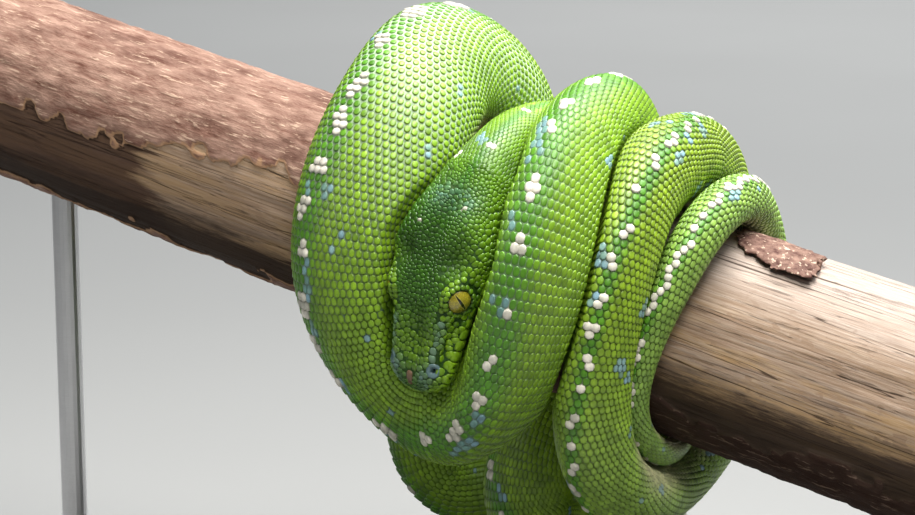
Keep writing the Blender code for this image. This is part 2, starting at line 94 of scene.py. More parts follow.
# Body, as in the solids.
BODY_GAP = 0.65
PRESS_SOFTNESS = 0.3
APART = 60.0
NEARBY = 60.0
TIGHTEST = 0.86
KEEL = 0.14
HEAD_GIVE = 0.02
GIVE_LENGTH = 20.0
BODY_FACING = 0.3
BRANCH_FACING = 0.5
ROUTE_SAMPLES = 6000
LINE_BLURS = (8, 6)
BACK_BLUR = 12
SIZE_BLUR = 8
BEND_BLUR = 4
HEAD_LENGTH = 58
JAW_LENGTH = 38
NECK_START = 48.0
NECK_BLEND = 16.0
SNOUT_ROUND = 9.0
SNOUT_POWER = 2.5
MOUTH_DROP = 1.6
MOUTH_SLANT = 0.03
SNOUT_SQUARE = 2.7
CROWN_SQUARE = 2.3
CROWN_BACK = 40.0
EYE_BACK = 28
EYE_RADIUS = 4.8
EYE_SINK = 4.6
EYE_LIFT = 4.2

LOW_LOOP = (11.5, -54.0, -74.0, 18.5, 55.0, 85.0)
HIGH_LOOP = (53.5, -23.0, -66.0, 18.0, -40.0, -30.0)
LOOP_PARTS = 4
HEAD_REST = (
    (16.3, 60.5, -28.3, -25), (13.3, 57.0, -0.8, -23), (11.0, 51.5, 20.8, -14),
    (12.6, 38.0, 35.8, -2),
)
NECK_OVER = ((13.0, 13.5, 40.3, 0), (18.5, -14.0, 38.0, 0))
NECK_DOWN = ((21.5, -36.0, 20.0, 0), (24.0, -48.0, -8.0, 0), (28.0, -54.0, -42.0, 30))
COIL_A_UP = ((-8.0, -51.0, -44.0, 75), (-6.0, -48.0, -8.0, 55), (-3.0, -40.0, 24.0, 42))
COIL_A = (
    (-8.0, -20.0, 44.5, 40), (-18.0, 2.0, 49.5, 42), (-17.7, 27.0, 39.5, 60),
    (-16.8, 41.5, 17.1, 84), (-12.5, 44.5, -6.3, 90), (-0.8, 40.0, -24.5, 85),
)
NEAR_BEND = ((15.5, 38.5, -31.4, 50), (33.0, 48.0, -23.0, 10))
COIL_B = (
    (38.0, 53.0, -3.5, -15), (37.0, 52.5, 13.3, -22), (34.3, 42.5, 31.0, -22),
    (32.0, 22.5, 42.5, -15), (32.0, 0.0, 44.5, 0),
)
COIL_B_DOWN = (
    (34.5, -27.0, 33.0, 0), (41.5, -46.5, 6.0, 0), (41.0, -42.0, -26.0, -10),
    (36.5, -30.0, -50.0, -30),
)
COIL_C_UP = (
    (70.0, -34.0, -44.0, -25), (68.5, -43.5, -20.0, -20), (66.5, -46.0, 4.0, -10),
    (61.5, -32.0, 34.0, -5),
)
COIL_C = (
    (56.2, 0.0, 46.5, 5), (52.4, 22.0, 43.5, 10), (53.9, 38.5, 27.5, 12),
    (56.2, 45.5, 9.0, 12), (58.7, 47.5, -10.1, 12), (64.6, 42.0, -31.0, 20),
    (75.5, 22.0, -47.5, 20),
)
UNDER_BRANCH = ((83.0, -12.0, -46.0, 10), (87.0, -39.0, -24.0, 0), (84.5, -40.0, 8.0, 0))
COIL_D = (
    (79.0, -20.0, 32.5, 0), (75.5, 2.0, 42.0, 0), (72.0, 24.0, 36.0, 0),
    (69.2, 35.0, 18.3, 5), (67.6, 39.0, -2.0, 5), (70.0, 34.0, -21.0, 5),
    (79.0, 14.0, -34.5, 0),
)
TAIL_WRAP = (
    (80.0, -14.0, -33.0, 0), (76.0, -34.0, -8.0, 0), (75.0, -30.0, 18.0, 0),
    (77.0, -10.0, 32.5, 0),
)
GIRTH = (
    (0.030, 19.0, 28.0), (0.045, 18.0, 19.0), (0.078, 19.0, 19.0), (0.140, 25.0, 24.0),
    (0.210, 30.0, 27.0), (0.270, 39.0, 30.0), (0.330, 43.0, 30.5), (0.390, 40.0, 30.5),
    (0.460, 38.0, 29.5), (0.520, 34.0, 28.0), (0.585, 31.0, 27.0), (0.635, 28.0, 26.0),
    (0.690, 26.0, 24.0), (0.760, 21.5, 20.5), (0.830, 15.5, 16.5), (0.880, 12.5, 14.0),
    (0.935, 8.0, 8.0), (0.980, 4.5, 4.5), (1.000, 1.6, 1.6),
)
HEAD_FORM = (
    (0.0, 10.6, 5.6, 6.4), (6.0, 10.8, 6.2, 6.6), (12.0, 11.2, 7.2, 6.9),
    (18.0, 11.7, 8.5, 7.6), (24.0, 12.4, 9.6, 8.4), (32.0, 14.4, 10.2, 9.2),
    (39.0, 15.3, 10.4, 9.4), (47.0, 13.4, 9.9, 9.2), (58.0, 9.8, 9.2, 9.0),
)
HEAD_SWELLS = (
    (1.3, 28.0, 5.0, 47.0, 16.0),
    (0.9, 37.0, 8.0, 62.0, 26.0),
    (-0.7, 40.0, 12.0, 0.0, 16.0),
    (-0.8, 12.0, 4.5, 72.0, 16.0),
)

# Finer form of the head in the skin, as height, distance from the snout and its spread, angle
# from the back and its spread. In turn: the snout's hollow, the dip between the eyes, the crown's
# crease, the valleys behind the brows, the sides of the snout, the hollows behind the eyes, the
# nape, and the swell at the nostrils.
FINE_SWELLS = (
    (-2.8, 15.0, 7.0, 0.0, 24.0),
    (-1.2, 22.0, 4.5, 0.0, 34.0),
    (-2.3, 41.0, 13.0, 0.0, 12.0),
    (-3.0, 37.0, 4.0, 38.0, 19.0),
    (-1.6, 15.0, 7.0, 70.0, 13.0),
    (-0.7, 31.0, 5.0, 68.0, 12.0),
    (-0.9, 56.0, 6.0, 24.0, 26.0),
    (0.3, 5.0, 2.5, 50.0, 14.0),
)
NOSTRIL_AT = 7.4
NOSTRIL_SHARE = 0.30
NOSTRIL_PIT = (2.4, 0.95)
LIP_GROOVE = (0.75, 0.5)
LIP_SWELL = (0.35, 2.0, 1.5)
MOUTH_FADE = (2.0, 6.0)
EYE_OPENING = math.radians(44.5)
EYE_RIM = math.radians(12.0)
EYE_TILT = math.radians(25.0)
EYE_FORWARD = math.radians(14.0)
EYE_LEAN = math.radians(34.0)
EYE_SIDES = (1.0, -1.0)
EYE_CLEARANCE = 0.1
EYE_RIM_HEIGHT = 0.45
EYE_SOCKET = 0.7
EYE_FIELD = math.radians(88.0)

# Named lengths of the body and where each one ends.
LENGTHS = (
    ("neck", 168), ("trunk_1", 304), ("trunk_2", 432), ("trunk_3", 552), ("trunk_4", 664),
    ("trunk_5", 784), ("trunk_6", 912), ("trunk_7", 1040), ("trunk_8", 1160),
    ("trunk_9", 1288), ("tail_1", 1410), ("tail_2", 1600),
)
FLESH = ("head", "jaw") + tuple(name for name, _ in LENGTHS)

# Scales at distances from the snout: spacing across and along, and the shares of it they fill.
SCALE_SIZES = (
    (58, 1.30, 1.45, 0.98, 1.24), (100, 1.35, 1.55, 0.98, 1.22),
    (168, 1.75, 1.95, 0.97, 1.20), (300, 2.10, 2.10, 0.95, 1.18),
    (430, 2.30, 1.70, 0.84, 0.96), (480, 2.30, 1.70, 0.85, 0.98),
    (520, 2.20, 1.85, 0.90, 1.08), (565, 2.05, 2.10, 0.95, 1.18),
    (610, 1.95, 2.00, 0.96, 1.20), (1000, 1.98, 1.92, 0.96, 1.20),
    (1180, 2.20, 1.80, 0.96, 1.16), (1290, 2.00, 1.80, 0.96, 1.18),
    (1380, 1.65, 2.00, 0.96, 1.18), (1450, 1.15, 1.60, 0.96, 1.18),
    (1551, 0.55, 0.95, 0.96, 1.18),
)
# Width of the scales of the flank against those of the spine, at distances from the snout.
FLANK_WIDTHS = (
    (58, 0.95), (200, 0.85), (420, 0.97), (560, 0.94), (610, 0.88), (780, 0.86),
    (920, 0.72), (1100, 0.72), (1200, 0.85), (1350, 0.95),
)
BELLY_EDGE = 0.87
VENT_AT = 1296.0
ZIGZAG_AT = 1178.0
NAPE_SPOTS = ((44.0, -7.0, 0.75, 0.7), (49.0, 4.6, 0.75, 0.7), (62.5, -8.0, 1.6, 0.8))
HEAD_COAT_END = 60.5

# Flecks: one for each so much of the body, how far they lie from the spine, their half width, and
# how much longer than wide they are. Then the share of spots with a fleck beside them, how far off
# and how large that fleck is, and how the spots themselves vary.
FLECK_SPACING = 6.0
FLECK_SPREAD = 34.0
FLECK_WIDTH = (0.8, 1.9)
FLECK_LONGER = 1.3
FLECK_BESIDE = 0.32
BESIDE_OFF = (1.5, 4.5)
BESIDE_LENGTH = (1.6, 3.4)
BESIDE_WIDTH = (1.2, 2.4)
BESIDE_ALONG = 2.0
BARE_TIP = 8.0
SPOT_VARIETY = (0.7, 1.25)
SPOT_SPACING = (0.75, 1.25)
SPOT_ASIDE = 0.6
ZIGZAG_ASIDE = 0.7

# Colours along the body: width of the darker green along the spine, how olive and how faded the
# sides are, where the cream of the belly begins, and where the dark green of the head ends.
DARK_BACK = ((190, 0.2), (300, 1.0), (800, 1.0), (920, 0.55), (1180, 0.3))
DARK_HALF = 2.5
DARK_FADE = 6.0
OLIVE = (0.6, 1000.0, 130.0)
FADED = ((1100, 0.0), (1180, 0.12))
CREAM_EDGE = ((1090, 0.68), (1170, 0.52))
CREAM_FULL = 0.85
CHIN_CREAM = (20.0, 30.0, 0.25)
HEAD_FADE = (96.0, 50.0)
# Least tone of a scale and how much more chance may give it, for each kind.
GREEN_TONE = (0.86, 0.28)
CREAM_TONE = (0.88, 0.14)
BLUE_COVER = (0.5, 0.42)

# How far the line of spots lies from the middle of the back, at distances from the snout.
SPINE_DRIFT = (
    (420, 0.0), (440, -8.0), (470, -5.0), (500, -10.0), (525, -11.0), (560, -10.0),
    (580, -11.0), (592, -5.0), (604, 0.0), (618, 4.0), (636, 4.5), (652, 3.0), (670, 0.0),
    (780, 0.0), (830, -16.0), (860, -16.0), (920, 0.0), (1030, 0.0), (1045, -4.5),
    (1065, -6.0), (1085, -4.0), (1120, -3.0), (1160, 0.0), (1200, -8.0), (1250, -2.0),
    (1320, -2.0), (1380, 0.0),
)

# Pale spots along the spine: distance from the snout, spacing, and half length and width there.
SPOT_STEPS = (
    (66, 30.0, 0.9, 0.9), (300, 15.0, 1.8, 1.6), (436, 11.5, 3.3, 3.0),
    (505, 11.0, 3.0, 2.8), (575, 11.0, 2.8, 2.5), (610, 11.0, 2.4, 1.5),
    (700, 12.0, 2.4, 1.5), (1040, 8.5, 1.9, 1.5), (1150, 8.0, 1.9, 1.3),
    (1180, 1.9, 0.95, 1.05), (1300, 2.0, 1.30, 1.0), (1410, 2.0, 1.30, 0.95),
    (1551, 6.0, 0.6, 0.5),
)


# ---- the body's line and sections


def place(stop):
    """A stop's point: along the branch, out to the front and up from it, in millimetres."""
    return stop[0] * ALONG + stop[1] * FRONT + stop[2] * UP


def hanging_loop(along, front, up, radius, roll_in, roll_out):
    """Stops round the bottom of a loop that hangs behind the branch, from right to left."""
    stops = []
    for part in range(LOOP_PARTS + 1):
        share = part / LOOP_PARTS
        turn = math.pi * share
        roll = roll_in + (roll_out - roll_in) * share
        stops.append((along + radius * math.cos(turn), front, up - radius * math.sin(turn), roll))
    return tuple(stops)


def route():
    """All stops from the snout to the tip of the tail."""
    neck = HEAD_REST + NECK_OVER + NECK_DOWN
    first = hanging_loop(*LOW_LOOP) + COIL_A_UP + COIL_A + NEAR_BEND + COIL_B + COIL_B_DOWN
    second = hanging_loop(*HIGH_LOOP)[::-1] + COIL_C_UP + COIL_C
    return neck + first + second + UNDER_BRANCH + COIL_D + TAIL_WRAP


def unit(rows):
    return rows / np.maximum(np.linalg.norm(rows, axis=-1, keepdims=True), 1e-9)


def blend(first, second, share):
    """From the first, where the share is 0, to the second, where it is 1."""
    return first * (1.0 - share) + second * share


def eased(share):
    """A share from 0 to 1 that sets off and arrives slowly."""
    return share * share * (3.0 - 2.0 * share)


def read_table(table, at):
    """The columns after a table's first one, read where that first one has this value."""
    rows = np.array(table, float)
    return [np.interp(at, rows[:, 0], rows[:, k]) for k in range(1, rows.shape[1])]


def turns_round(sides):
    return np.arange(sides) * 2.0 * math.pi / sides


def blur(rows, reach):
    """Each row's mean with its neighbours up to reach away."""
    first = np.repeat(rows[:1], reach, axis=0)
    last = np.repeat(rows[-1:], reach, axis=0)
    padded = np.concatenate([np.zeros_like(rows[:1]), first, rows, last])
    total = np.cumsum(padded, axis=0)
    span = 2 * reach + 1
    return (total[span:] - total[:-span]) / span


def spline(points, count):
    """A smooth curve through the points, as a centripetal Catmull-Rom spline."""
    span = np.linalg.norm(np.diff(points[:, :3], axis=0), axis=1) ** 0.5
    knots = np.concatenate([[0.0], np.cumsum(span)])
    before = (points[1:-1] - points[:-2]) / span[:-1, None]
    after = (points[2:] - points[1:-1]) / span[1:, None]
    across = (points[2:] - points[:-2]) / (span[:-1] + span[1:])[:, None]
    slope = np.empty_like(points)
    slope[1:-1] = before - across + after
    slope[0] = (points[1] - points[0]) / span[0]
    slope[-1] = (points[-1] - points[-2]) / span[-1]
    at = np.linspace(0.0, knots[-1], count)
    i = np.clip(np.searchsorted(knots, at, "right") - 1, 0, len(span) - 1)
    t = ((at - knots[i]) / span[i])[:, None]
    width = span[i][:, None]
    start = (2 * t**3 - 3 * t**2 + 1) * points[i] + (t**3 - 2 * t**2 + t) * width * slope[i]
    end = (3 * t**2 - 2 * t**3) * points[i + 1] + (t**3 - t**2) * width * slope[i + 1]
    return start + end


def evenly(rows):
    """The rows read again at one-millimetre steps along their line."""
    arc = np.concatenate([[0.0], np.cumsum(np.linalg.norm(np.diff(rows[:, :3], axis=0), axis=1))])
    at = np.linspace(0.0, arc[-1], int(round(arc[-1])) + 1)
    return np.stack([np.interp(at, arc, rows[:, k]) for k in range(rows.shape[1])], axis=1)


def bump(value, centre, spread):
    return np.exp(-(((value - centre) / spread) ** 2))


def patches(back, side, rows, start=0.0):
    """Soft patches added to a start value. rows: amount, distance from the snout and its spread,
    place round from the back and its spread."""
    for amount, at, length, round_at, spread in rows:
        start = start + amount * bump(back, at, length) * bump(side, round_at, spread)
    return start


def head_sizes(back):
    """The head's half width, height above its line and depth below it, this far from the snout."""
    return read_table(HEAD_FORM, back)


def snout_rounding(back):
    """How much of its full section the snout has reached, this far from its tip."""
    front = 1.0 - np.clip(back, 0.0, SNOUT_ROUND) / SNOUT_ROUND
    return (1.0 - front**SNOUT_POWER) ** (1.0 / SNOUT_POWER)


def trunk_share(back):
    """How far the head's form has given way to the trunk's, from 0 to 1."""
    return eased(np.clip((back - NECK_START) / NECK_BLEND, 0.0, 1.0))


def mouth_height(back):
    """Height of the line of the mouth, from the head's own line."""
    return -MOUTH_DROP - MOUTH_SLANT * back


def head_section(back, turns):
    """A section of the head with its brows, cheeks, lips and nostrils: across and up."""
    half, top, low = head_sizes(back)
    power = 2.0 / np.interp(back, (0.0, CROWN_BACK), (SNOUT_SQUARE, CROWN_SQUARE))
    sine = np.sin(turns)
    cosine = np.cos(turns)
    across = half * np.sign(sine) * np.abs(sine) ** power
    upward = np.where(cosine > 0.0, top, low) * np.sign(cosine) * np.abs(cosine) ** power
    side = np.degrees(np.arccos(np.clip(cosine, -1.0, 1.0)))
    raised = patches(back, side, HEAD_SWELLS + FINE_SWELLS, np.zeros(len(turns)))
    mouth = mouth_height(back)
    shut = np.clip((JAW_LENGTH + MOUTH_FADE[0] - back) / MOUTH_FADE[1], 0.0, 1.0)
    raised -= shut * LIP_GROOVE[0] * bump(upward, mouth, LIP_GROOVE[1])
    for away in (LIP_SWELL[1], -LIP_SWELL[1]):
        raised += shut * LIP_SWELL[0] * bump(upward, mouth + away, LIP_SWELL[2])
    swell = 1.0 + raised / np.maximum(np.hypot(across, upward), 1.0)
    return np.stack([across * swell, upward * swell], axis=1) * snout_rounding(back)


class Body:
    """The snake's line at one-millimetre steps, with its directions and sizes at each step."""

    def __init__(self):
        stops = np.array([np.append(place(stop), stop[3]) for stop in route()])
        rows = evenly(spline(stops, ROUTE_SAMPLES))
        for reach in LINE_BLURS:
            rows = blur(rows, reach)
        rows = evenly(rows)
        self.line = rows[:, :3]
        self.arc = np.arange(len(rows), dtype=float)
        self.tangent = unit(np.gradient(self.line, axis=0))
        self.bend = blur(np.gradient(self.tangent, axis=0), BEND_BLUR)
        outward = self.line - (self.line @ ALONG)[:, None] * ALONG
        outward = self.square(outward)
        roll = np.radians(rows[:, 3])[:, None]
        back = np.cos(roll) * outward + np.sin(roll) * np.cross(self.tangent, outward)
        self.back = self.square(blur(back, BACK_BLUR))
        self.side = np.cross(self.tangent, self.back)
        high, wide = read_table(GIRTH, self.arc / self.arc[-1])
        self.high = blur(high[:, None], SIZE_BLUR)
        self.wide = blur(wide[:, None], SIZE_BLUR)
        half, _, low = head_sizes(self.arc)
        trunk = trunk_share(self.arc)
        rounding = snout_rounding(self.arc)
        aside = trunk * self.wide[:, 0] / 2 + (1.0 - trunk) * half * rounding
        upward = trunk * self.high[:, 0] / 2 + (1.0 - trunk) * low * rounding
        self.reach = np.stack([aside, upward], axis=1)

    def square(self, rows):
        """The rows made unit length, at right angles to the line."""
        return unit(rows - np.sum(rows * self.tangent, axis=1)[:, None] * self.tangent)

    def between(self, rows, back):
        """The rows read at this distance from the snout."""
        return np.array([np.interp(back, self.arc, rows[:, k]) for k in range(rows.shape[1])])

    def softness(self, back):
        """How far the body gives way where two lengths meet: hardly at all at the head."""
        behind = np.clip((back - HEAD_LENGTH) / GIVE_LENGTH, 0.0, 1.0)
        return HEAD_GIVE + (1.0 - HEAD_GIVE) * behind

    def section(self, back, turns):
        """The section here, with the head's form at the front and the trunk's behind."""
        wide = self.between(self.wide, back)[0]
        high = self.between(self.high, back)[0]
        across = wide / 2 * np.sin(turns) * (1.0 - KEEL * np.cos(turns))
        trunk = np.stack([across, high / 2 * np.cos(turns)], axis=1)
        share = trunk_share(back)
        if share >= 1.0:
            return trunk
        return blend(head_section(back, turns), trunk, share)

    def pressed(self, back, flat):
        """The section's points, moved in its own plane off the other lengths and the branch."""
        centre = self.between(self.line, back)
        axes = self.axes_at(back)
        aside, upward = self.between(self.reach, back)
        delta = self.line - centre
        far = np.linalg.norm(delta, axis=1)
        others = np.nonzero((np.abs(self.arc - back) > APART) & (far < NEARBY))[0]
        toward = delta[others] / far[others][:, None]
        mine = np.hypot(toward @ axes[0] * aside, toward @ axes[1] * upward)
        across = np.sum(self.side[others] * toward, axis=1) * self.reach[others, 0]
        up = np.sum(self.back[others] * toward, axis=1) * self.reach[others, 1]
        clash = mine + np.hypot(across, up) + BODY_GAP - far[others]
        hit = clash > 0.0
        own = self.softness(back)
        share = own / (own + self.softness(self.arc[others[hit]]))
        inside = self.between(self.bend, back) @ axes.T
        curve = max(np.linalg.norm(inside), 1e-4)
        plane = np.concatenate([toward[hit] @ axes.T, inside[None] / curve])
        limit = np.append(mine[hit] - clash[hit] * share, TIGHTEST / curve)
        size = np.maximum(np.linalg.norm(plane, axis=1), BODY_FACING)
        plane = plane / size[:, None]
        over = flat @ plane.T - limit / size
        over = PRESS_SOFTNESS * np.logaddexp(0.0, over / PRESS_SOFTNESS)
        worst = over.argmax(axis=1)
        flat = flat - over[np.arange(len(flat)), worst][:, None] * plane[worst]
        points = centre + flat @ axes
        along = points @ ALONG
        outward = points - along[:, None] * ALONG
        radius = np.linalg.norm(outward, axis=1)
        surface = BRANCH_RADIUS + BRANCH_SWELL * along + BODY_GAP
        lift = PRESS_SOFTNESS * np.logaddexp(0.0, (surface - radius) / PRESS_SOFTNESS)
        plane = (outward / radius[:, None]) @ axes.T
        size = np.maximum(np.linalg.norm(plane, axis=1), BRANCH_FACING)[:, None]
        return flat + lift[:, None] * plane / size**2

    def axes_at(self, back):
        """The side and back directions here."""
        return unit(np.stack([self.between(self.side, back), self.between(self.back, back)]))


# ---- the skin's surface as a table


SHARES = 112
SAMPLES = 256
TIP_ROWS = 26
TIP_LENGTH = 8.0
FINE_STEP = 0.5
FINE_END = 64.0


def eye_place(body, side):
    """An eye's centre, the way it looks and the way its slit runs. The left eye has side 1."""
    across = side * (head_sizes(EYE_BACK)[0] - EYE_SINK)
    aside = body.side[EYE_BACK]
    back = body.back[EYE_BACK]
    ahead = -body.tangent[EYE_BACK]
    centre = body.line[EYE_BACK] + across * aside + EYE_LIFT * back
    level = math.cos(EYE_TILT) * side * aside + math.sin(EYE_TILT) * back
    looks = unit(math.cos(EYE_FORWARD) * level + math.sin(EYE_FORWARD) * ahead)
    leaning = math.cos(EYE_LEAN) * back - math.sin(EYE_LEAN) * ahead
    slit = unit(leaning - (leaning @ looks) * looks)
    return centre, looks, slit


class Surface:
    """The skin as a table of points: rows from snout to tail, columns round from the back."""

    def __init__(self, body, depth):
        self.body = body
        tip = TIP_LENGTH * np.linspace(0.0, 1.0, TIP_ROWS) ** 3
        fine = np.arange(TIP_LENGTH + FINE_STEP, FINE_END, FINE_STEP)
        self.at = np.concatenate([tip, fine, np.arange(FINE_END, body.arc[-1])])
        self.shares = np.linspace(-1.0, 1.0, 2 * SHARES + 1)
        turns = np.linspace(-math.pi, math.pi, SAMPLES + 1)
        places = []
        flats = []
        halves = []
        for back in self.at:
            flat = body.pressed(back, body.section(back, turns))
            size = np.maximum(np.hypot(flat[:, 0], flat[:, 1]), 1e-6)[:, None]
            flat = flat * (1.0 - np.minimum(depth / size, 0.5))
            rows, half = self.even(flat)
            places.append(body.between(body.line, back) + rows @ body.axes_at(back))
            flats.append(rows)
            halves.append(half)
        self.place = np.array(places)
        self.flat = np.array(flats)
        self.half = np.array(halves)
        self.measure()
        for side in EYE_SIDES:
            self.sink_pit(NOSTRIL_AT, side * NOSTRIL_SHARE, *NOSTRIL_PIT)
            self.seat_eye(*eye_place(body, side)[:2])
        self.measure()

    def even(self, flat):
        """The ring's points spaced evenly round it from the back, and half its length."""
        middle = len(flat) // 2
        length = np.concatenate([[0.0], np.cumsum(np.linalg.norm(np.diff(flat, axis=0), axis=1))])
        total = max(length[-1], 1e-6)
        want = (length[middle] + self.shares * total / 2) % total
        rows = np.stack([np.interp(want, length, flat[:, k]) for k in (0, 1)], axis=1)
        return rows, total / 2

    def seat_eye(self, centre, looks):
        """Sinks the skin behind the eyeball inside its opening, and raises a rim round it."""
        head = self.at < FINE_END
        away = self.place[head] - centre
        far = np.linalg.norm(away, axis=2)
        angle = np.arccos(np.clip(away @ looks / np.maximum(far, 1e-6), -1.0, 1.0))
        rim = EYE_RIM_HEIGHT * bump(angle, EYE_OPENING + EYE_RIM, EYE_RIM)
        rim = EYE_RADIUS + EYE_CLEARANCE + rim
        wanted = np.where(angle < EYE_OPENING, EYE_RADIUS - EYE_SOCKET, np.maximum(far, rim))
        near = (far < 2.0 * EYE_RADIUS) & (angle < EYE_FIELD)
        wanted = np.where(near, wanted, far)
        self.place[head] = centre + away * (wanted / np.maximum(far, 1e-6))[..., None]

    def sink_pit(self, back, share, depth, radius):
        """Sinks a round pit into the head."""
        head = self.at < FINE_END
        centre = self.read(self.place, back, share)
        inward = self.read(self.normal, back, share)
        far = np.linalg.norm(self.place[head] - centre, axis=2)
        self.place[head] -= (depth * bump(far, 0.0, radius))[..., None] * inward

    def measure(self):
        """Directions over the surface, and how far it is stretched along the body."""
        along = np.gradient(self.place, self.at, axis=0)
        wrapped = np.concatenate([self.place[:, -2:-1], self.place, self.place[:, 1:2]], axis=1)
        across = (wrapped[:, 2:] - wrapped[:, :-2]) / 2
        self.stretch = np.linalg.norm(along, axis=2)
        self.normal = unit(np.cross(across, along))
        self.across = unit(across)
        self.along = unit(np.cross(self.normal, self.across))

    def read(self, table, back, share):
        """The table's values at places on the skin. A share past the belly runs on round it."""
        row = np.interp(back, self.at, np.arange(len(self.at)))
        column = (np.asarray(share, float) + 1.0) % 2.0 * SHARES
        i = np.minimum(row.astype(int), len(self.at) - 2)
        j = np.minimum(column.astype(int), 2 * SHARES - 1)
        down, over = row - i, column - j
        if table.ndim == 3:
            down, over = down[..., None], over[..., None]
        near = blend(table[i, j], table[i, j + 1], over)
        far = blend(table[i + 1, j], table[i + 1, j + 1], over)
        return blend(near, far, down)

    def half_at(self, back):
        """Length of skin from the middle of the back to the middle of the belly."""
        return np.interp(back, self.at, self.half)

    def twist(self, back):
        """Share of the way round that the pattern of scales lies from the section's own back."""
        return read_table(SPINE_DRIFT, back)[0] / self.half_at(back)


@functools.cache
def skin_surface():
    return Surface(Body(), bpy.context.scene.python_skin.coat_depth / MM)


# ---- markings


def colour_of(settings, name):
    return np.array(getattr(settings, name)[:3])


GREENS = (
    "flank_green", "flank_olive", "spine_green", "head_green", "belly_cream", "stretched_pale",
)


class Markings:
    """Where the colours change, the same for the skin and for every scale."""

    def __init__(self, settings, end):
        rng = np.random.default_rng(settings.seed)
        self.greens = {name: colour_of(settings, name) for name in GREENS}
        self.white = colour_of(settings, "spot_cream")
        self.blue = colour_of(settings, "fleck_blue")
        spots = list(NAPE_SPOTS)
        first = float(SPOT_STEPS[0][0])
        back = first
        while back < end - BARE_TIP:
            spacing, long, wide = read_table(SPOT_STEPS, back)
            grown = rng.uniform(*SPOT_VARIETY, 2)
            aside = rng.normal(0.0, SPOT_ASIDE)
            if back > ZIGZAG_AT:
                aside = ZIGZAG_ASIDE * rng.choice((-1.0, 1.0))
            spots.append((back, aside, long * grown[0], wide * grown[1]))
            back += spacing * rng.uniform(*SPOT_SPACING)
        self.spots = np.array(spots)
        count = int(end / FLECK_SPACING)
        size = rng.uniform(*FLECK_WIDTH, count)
        at = rng.uniform(first, end, count)
        aside = rng.uniform(-FLECK_SPREAD, FLECK_SPREAD, count)
        flecks = np.column_stack([at, aside, FLECK_LONGER * size, size])
        beside = self.spots[len(NAPE_SPOTS):]
        beside = beside[rng.random(len(beside)) < FLECK_BESIDE].copy()
        beside = beside[beside[:, 0] < VENT_AT]
        count = len(beside)
        beside[:, 0] += rng.normal(0.0, BESIDE_ALONG, count)
        beside[:, 1] += rng.choice((-1.0, 1.0), count) * rng.uniform(*BESIDE_OFF, count)
        beside[:, 2] = rng.uniform(*BESIDE_LENGTH, count)
        beside[:, 3] = rng.uniform(*BESIDE_WIDTH, count)
        self.flecks = np.concatenate([flecks, beside])

    def within(self, marks, back, aside):
        """Whether each place lies inside one of the marks."""
        inside = np.zeros(np.shape(back), bool)
        for at, across, long, wide in marks:
            near = np.nonzero(np.abs(back - at) < long)[0]
            far = np.hypot((back[near] - at) / long, (aside[near] - across) / wide)
            inside[near[far < 1.0]] = True
        return inside

    def colour(self, back, share, aside, chance):
        """Colours at places of the pattern, varied by a chance from 0 to 1 for each, and which
        of them are pale spots."""
        greens = self.greens
        dark = read_table(DARK_BACK, back)[0]
        flank = (np.abs(aside) - DARK_HALF * dark) / (DARK_FADE * dark)
        flank = np.clip(flank, 0.0, 1.0)[:, None]
        most, at, length = OLIVE
        olive = most * bump(back, at, length)[:, None]
        side = blend(greens["flank_green"], greens["flank_olive"], olive)
        faded = read_table(FADED, back)[0][:, None]
        side = blend(side, greens["stretched_pale"], faded)
        green = blend(greens["spine_green"], side, flank)
        head = np.clip((HEAD_FADE[0] - back) / HEAD_FADE[1], 0.0, 1.0)[:, None]
        green = blend(green, greens["head_green"], head)
        edge = read_table(CREAM_EDGE, back)[0]
        low = np.clip((np.abs(share) - edge) / (CREAM_FULL - edge), 0.0, 1.0)[:, None]
        start, fade, least = CHIN_CREAM
        low = eased(low) * np.clip((back[:, None] - start) / fade, least, 1.0)
        green = blend(green, greens["belly_cream"], low)
        chance = chance[:, None]
        green = green * (GREEN_TONE[0] + GREEN_TONE[1] * chance)
        blue = self.within(self.flecks, back, aside)
        white = self.within(self.spots, back, aside)
        pale = BLUE_COVER[0] + BLUE_COVER[1] * chance
        green = np.where(blue[:, None], blend(green, self.blue, pale), green)
        cream = self.white * (CREAM_TONE[0] + CREAM_TONE[1] * chance)
        return np.where(white[:, None], cream, green), white


@functools.cache
def markings():
    return Markings(bpy.context.scene.python_skin, skin_surface().body.arc[-1])


# ---- meshes


def lift_to_world(points):
    """From millimetres about the branch's middle to metres above the floor."""
    return (np.asarray(points) + np.array([0.0, 0.0, BRANCH_HEIGHT])) * MM


def put_in_scene(name, data):
    made = bpy.data.objects.new(name, data)
    bpy.context.scene.collection.objects.link(made)
    return made


def add_object(name, mesh, look):
    mesh.materials.append(look)
    return put_in_scene(name, mesh)


def tube_faces(rows, sides, inward=False):
    """Faces of four corners between rings of points, in rows that close on themselves."""
    k = np.arange(sides)
    after = (k + 1) % sides
    start = np.arange(rows - 1)[:, None] * sides
    below, above = (start + k, start + after), (start + sides + k, start + sides + after)
    order = (below[0], above[0], above[1], below[1])
    if inward:
        order = (below[0], below[1], above[1], above[0])
    return np.stack(order, axis=2).reshape(-1, 4)


def mend(mesh, weld=0.0, most=None, close=True):
    """Joins points closer than weld, in millimetres, among the first most of them, closes the
    open ends, and smooths the mesh."""
    shape = bmesh.new()
    shape.from_mesh(mesh)
    if weld > 0.0:
        bmesh.ops.remove_doubles(shape, verts=shape.verts[:most], dist=weld * MM)
    if close:
        bmesh.ops.holes_fill(shape, edges=shape.edges, sides=0)
        bmesh.ops.recalc_face_normals(shape, faces=shape.faces)
    shape.to_mesh(mesh)
    shape.free()
    mesh.shade_smooth()


def standing(x_axis, y_axis, z_axis, centre):
    """The transform that lays a piece's own axes along these, with its origin at the centre."""
    turn = Matrix((x_axis, y_axis, z_axis)).transposed().to_4x4()
    turn.translation = centre
    return turn


